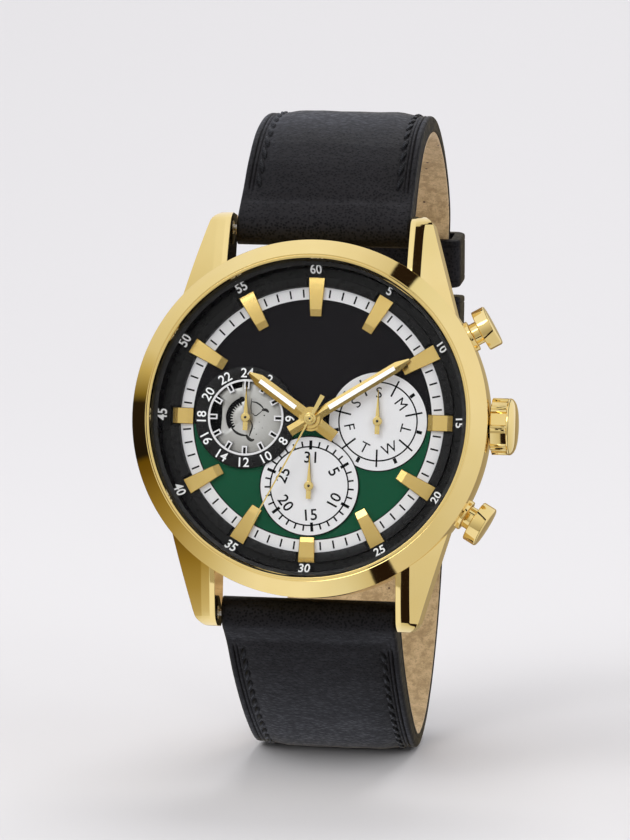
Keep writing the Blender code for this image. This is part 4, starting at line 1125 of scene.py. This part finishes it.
def build_buckle():
    bar = Vector((0, 52.5, -1.5))
    forward = bar - HINGE
    reach = forward.length
    forward.normalize()
    turn = Matrix(((1, 0, 0), (0, forward.y, -forward.z), (0, forward.z, forward.y))).to_4x4()
    turn.translation = HINGE
    inner, outer = 10.75, 12.5

    def bow(half, back, front, radius):
        """Half the frame's outline, from the hinge forwards, with a round corner and a bowed front."""
        side = [(half, back)]
        for k in range(9):
            a = radians(90 * k / 8)
            side.append((half - radius + radius * cos(a), front - radius + radius * sin(a)))
        across = [(half - radius - (half - radius) * k / 6, front + 0.35 * sin(pi / 2 * k / 6))
                  for k in range(1, 7)]
        return side + across

    def whole(half, back, front, radius):
        right = bow(half, back, front, radius)
        return right + [(-x, y) for x, y in right[-2::-1]]

    outside, inside = whole(outer, -1.5, reach + 0.55, 2.4), whole(inner, -1.5, reach - 1.15, 1.1)
    shape = slab(outside + inside[::-1], -0.8, 0.8)
    bore = moved(cylinder(0.55, -14, 14, steps=32), TO_X)
    add("buckle_loop", moved(carve(shape, [bore]), turn), "gold", "buckle_frame", ["buckle_frame"],
        ROW,
        bevel=0.38, segments=5, limit=50, smooth=35)

    pin = lathe(rounded([(0, 12.3), (0.5, 12.3, 0.12), (0.5, 10.6), (0.7, 10.6, 0.1), (0.7, -10.6, 0.1),
                         (0.5, -10.6),
                         (0.5, -12.3, 0.12), (0, -12.3)]), 48)
    across = Matrix.Translation(HINGE) @ TO_X
    add("buckle_pin", moved(pin, across), "steel", "case", ["buckle_bar"], ROW)

    path = Route([(46.6, 9.0), (48.4, 8.5), (50.6, 7.2), (52.4, 4.6), (54.0, -0.2), (54.2, -1.8),
                  (53.9, -3.0)], 1)
    sections = []
    for i in range(41):
        s = path.length * i / 40
        left = path.length - s
        half = 0.95 * (0.72 + 0.28 * ease(left, 0.0, 2.2)) * sqrt(min(1.0, 0.12 + left / 0.7))
        thick = 0.42 * (0.6 + 0.4 * ease(left, 0.0, 3.0)) * sqrt(min(1.0, 0.12 + left / 0.5))
        sections.append([tuple(path.lift(s, half * copysign(abs(cos(a)) ** 0.55, cos(a)),
                                         thick * copysign(abs(sin(a)) ** 0.7, sin(a))))
                         for a in (2 * pi * k / 28 for k in range(28))])
    hub = moved(lathe(rounded([(0, 1.1), (1.35, 1.1, 0.2), (1.35, -1.1, 0.2), (0, -1.1)]), 64), across)
    tongue = carve(skin(sections), [hub], "UNION")
    tongue = carve(tongue, [moved(cylinder(0.78, -3, 3, steps=32), across)])
    add("buckle_prong", tongue, "gold", "buckle_tongue", ["buckle_tongue"], ROW, smooth=35)


# --- Inside the case -----------------------------------------------------------------------------------------

INNER_LOOKS = {
    "rubber": ["crystal_gasket", "case_back_gasket"],
    "steel": ["winding_stem", "crown_tube", "clutch_pinion", "battery", "rotor", "spring_bar_12",
              "spring_bar_6",
              "cannon_pinion"],
    "plastic": ["movement_holder", "intermediate_wheel"],
    "brass": ["main_plate", "train_bridge", "fourth_wheel", "hour_wheel", "minute_wheel"],
    "copper": ["motor_coil"],
}


def dress_inside():
    for look, names in INNER_LOOKS.items():
        for name in names:
            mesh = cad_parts[name].data
            mesh.materials.clear()
            mesh.materials.append(LOOKS[look])


# --- Studio --------------------------------------------------------------------------------------------------

FLOOR_Z = -0.0405


def build_camera():
    a, e, roll = (radians(v) for v in (8.27, -3.40, 2.23))
    back = Vector((sin(a) * cos(e), -cos(a) * cos(e), sin(e)))
    right = Vector((cos(a), sin(a), 0))
    up = back.cross(right)
    across = right * cos(roll) + up * sin(roll)
    upward = up * cos(roll) - right * sin(roll)
    data = bpy.data.cameras.new("camera")
    data.sensor_width, data.lens = 36.0, 208.93
    data.clip_start, data.clip_end = 0.01, 20.0
    camera = in_scene("camera", data)
    place = Matrix((across, upward, back)).transposed().to_4x4()
    place.translation = Vector((0, -0.0072, 0)) + back * 0.6 - across * -0.000365 - upward * 0.000045
    camera.matrix_world = place
    bpy.context.scene.camera = camera


def softbox(name, at, size, power):
    """A soft rectangle of light that faces the watch."""
    data = bpy.data.lights.new(name, "AREA")
    data.shape, data.size, data.size_y, data.energy = "RECTANGLE", size[0], size[1], power
    lamp = in_scene(name, data)
    lamp.location = at
    lamp.rotation_euler = Vector(at).to_track_quat("Z", "Y").to_euler()


def build_world():
    """Soft light all round: dimmer below than above, warm and dim behind, and with a dark upright strip 25
    degrees to the right of straight ahead and one opposite it."""
    world = bpy.data.worlds.new("studio")
    world.use_nodes = True
    bpy.context.scene.world = world
    tree = world.node_tree
    direction = tree.nodes.new("ShaderNodeTexCoord").outputs["Generated"]
    level = None
    gap = radians(25)
    for aim, low, high, colour, both in (
            ((-0.25, 0, 1), -0.5, 0.5, (0.52, 0.5, 0.46), False),
            ((0, -1, 0), -0.75, -0.35, (0.6, 0.5, 0.3), False),
            ((cos(gap), sin(gap), 0), 0.11, 0.14, (0.03, 0.02, 0.01), True)):
        dot = tree.nodes.new("ShaderNodeVectorMath")
        dot.operation = "DOT_PRODUCT"
        dot.inputs[1].default_value = Vector(aim).normalized()
        tree.links.new(direction, dot.inputs[0])
        value = dot.outputs["Value"]
        if both:
            size = tree.nodes.new("ShaderNodeMath")
            size.operation = "ABSOLUTE"
            tree.links.new(value, size.inputs[0])
            value = size.outputs[0]
        spread = tree.nodes.new("ShaderNodeMapRange")
        spread.interpolation_type = "SMOOTHSTEP"
        spread.inputs["From Min"].default_value, spread.inputs["From Max"].default_value = high, low
        tree.links.new(value, spread.inputs["Value"])
        step = tree.nodes.new("ShaderNodeMix")
        step.data_type, step.blend_type = "RGBA", "MULTIPLY"
        factor, (a, b) = step.inputs["Factor"], [k for k in step.inputs if k.type == "RGBA"]
        a.default_value, b.default_value = (1, 1, 1, 1), (*colour, 1)
        tree.links.new(spread.outputs[0], factor)
        if level is not None:
            tree.links.new(level, a)
        level = [k for k in step.outputs if k.type == "RGBA"][0]
    background = tree.nodes["Background"]
    tree.links.new(level, background.inputs["Color"])
    background.inputs["Strength"].default_value = 0.95


TENT_TONES = [  # clock angle on the bezel in degrees, and the light that it sees
    (0, 1.05, 1.10, 1.30), (15, 0.97, 1.0, 1.15), (27.6, 0.80, 0.80, 0.80), (28.2, 0.02, 0.012, 0.01),
    (35.8, 0.02, 0.012, 0.01), (36.4, 0.92, 0.97, 1.05), (60, 1.0, 1.04, 1.22), (80, 1.0, 1.03, 1.2),
    (95, 0.93, 0.96, 1.08), (110, 0.85, 0.86, 0.92), (130, 0.78, 0.78, 0.8), (147.3, 0.8, 0.79, 0.8),
    (147.9, 0.02, 0.012, 0.01), (155.1, 0.02, 0.012, 0.01), (155.7, 0.70, 0.68, 0.62),
    (165, 0.88, 0.92, 1.05),
    (180, 1.04, 1.08, 1.25), (195, 1.02, 1.05, 1.2), (205, 0.85, 0.86, 0.9), (215, 0.66, 0.62, 0.5),
    (230, 0.42, 0.34, 0.15), (240, 0.30, 0.22, 0.06), (250, 0.17, 0.11, 0.02), (254, 0.14, 0.09, 0.01),
    (256, 0.016, 0.012, 0.01), (274, 0.022, 0.015, 0.01), (277, 0.25, 0.2, 0.06), (285, 0.62, 0.56, 0.35),
    (292, 0.8, 0.79, 0.76), (310, 0.92, 0.95, 1.05), (330, 0.98, 1.02, 1.18), (345, 1.05, 1.1, 1.3),
    (360, 1.05, 1.10, 1.30),
]


def tone(degrees):
    """The tent's light at an angle about the watch's axis, allowing for the bezel being seen a little from the
    right."""
    degrees = (degrees + 6.3 * cos(radians(degrees - 20))) % 360
    for (a, *low), (b, *high) in zip(TENT_TONES, TENT_TONES[1:]):
        if a <= degrees <= b:
            return [p + (q - p) * (degrees - a) / (b - a) for p, q in zip(low, high)]


FRONT_GAP = (0.02, 0.012, 0.01)
MOUTH, GAP_START = -0.1, -0.038  # world Y of the tent's open front, and of the slanting gaps' inner end


def in_front_gap(degrees, y):
    """Whether a point is in one of the two slanting gaps, near the mouth, that darken the right-hand lugs."""
    if y > GAP_START:
        return False
    depth = (GAP_START - y) / (GAP_START - MOUTH)
    upper, lower = 24 + 26 * depth ** 1.25, 154 - 23 * depth ** 1.25
    return abs(degrees - upper) < 6 or abs(degrees - lower) < 6


def build_tent():
    """A light tent round the watch with dark gaps, seen only in reflections and tuned for the main view."""
    steps, radius = 720, 0.075
    rows = [MOUTH + 0.004 * k for k in range(16)] + [-0.036, 0.09]
    mesh = bpy.data.meshes.new("tent")
    verts, faces, tones = [], [], []
    for i in range(steps):
        a = 2 * pi * i / steps
        j = (i + 1) % steps
        for k, y in enumerate(rows):
            verts.append((radius * sin(a), y, radius * cos(a)))
            tones.append((*(FRONT_GAP if in_front_gap(360 * i / steps, y) else tone(360 * i / steps)), 1))
            if k:
                here, there = len(rows) * i + k, len(rows) * j + k
                faces.append((here - 1, there - 1, there, here))
    mesh.from_pydata(verts, [], faces)
    colours = mesh.color_attributes.new("tone", "FLOAT_COLOR", "POINT")
    for at, shade in enumerate(tones):
        colours.data[at].color = shade
    tent = in_scene("tent", mesh)
    material = bpy.data.materials.new("tent_cloth")
    material.use_nodes = True
    tree = material.node_tree
    glow = tree.nodes.new("ShaderNodeEmission")
    colour = tree.nodes.new("ShaderNodeAttribute")
    colour.attribute_name = "tone"
    tree.links.new(colour.outputs["Color"], glow.inputs["Color"])
    tree.links.new(glow.outputs[0], tree.nodes["Material Output"].inputs["Surface"])
    mesh.materials.append(material)
    tent.visible_camera = tent.visible_diffuse = tent.visible_shadow = tent.visible_transmission = False


def build_stage():
    """A pale sweep, floor, curve and wall in one, that leans with the watch's stand."""
    near, far, height, radius = -1.2, 0.9, 1.6, 0.5
    line = [(near, 0.0), (far - radius, 0.0)]
    line += [(far - radius + radius * sin(radians(a)), radius - radius * cos(radians(a)))
             for a in range(5, 91, 5)]
    line.append((far, height))
    mesh = bpy.data.meshes.new("sweep")
    verts = [(x, y, z) for y, z in line for x in (-1.6, 1.6)]
    faces = [(2 * i, 2 * i + 1, 2 * i + 3, 2 * i + 2) for i in range(len(line) - 1)]
    mesh.from_pydata(verts, [], faces)
    sweep = in_scene("sweep", mesh)
    sweep.matrix_world = Matrix.Translation((0, 0.026, FLOOR_Z)) @ Matrix.Rotation(radians(9), 4, "X")
    mesh.shade_smooth()
    look = Look("sweep_paper", (0.55, 0.545, 0.555), 0.9, Specular_IOR_Level=0.1)
    look.set("Emission Color", (0.88, 0.865, 0.89, 1))
    far_off = look.ramp(look.axis("Y"), 0.03, 0.35)
    look.link(look.math("MULTIPLY", far_off, 0.41), look.shader.inputs["Emission Strength"])
    look.colour(look.mix(far_off, (0.64, 0.63, 0.645), (0.35, 0.345, 0.355)))
    mesh.materials.append(look.material)
    sweep.visible_glossy = False


def main():
    build_case()
    build_crown()
    build_pushers()
    build_dial()
    build_24h()
    build_white_dials()
    build_hands()
    build_strap()
    build_buckle()
    dress_inside()
    build_world()
    build_stage()
    build_tent()
    softbox("key", (-0.35, -0.65, 0.5), (0.5, 0.5), 2.6)
    softbox("fill", (0.5, -0.6, 0.25), (0.35, 0.6), 0.6)
    softbox("back", (0.0, 0.36, 0.74), (0.4, 0.4), 3.4)
    build_camera()
    bpy.context.scene.view_settings.view_transform = "Standard"


main()
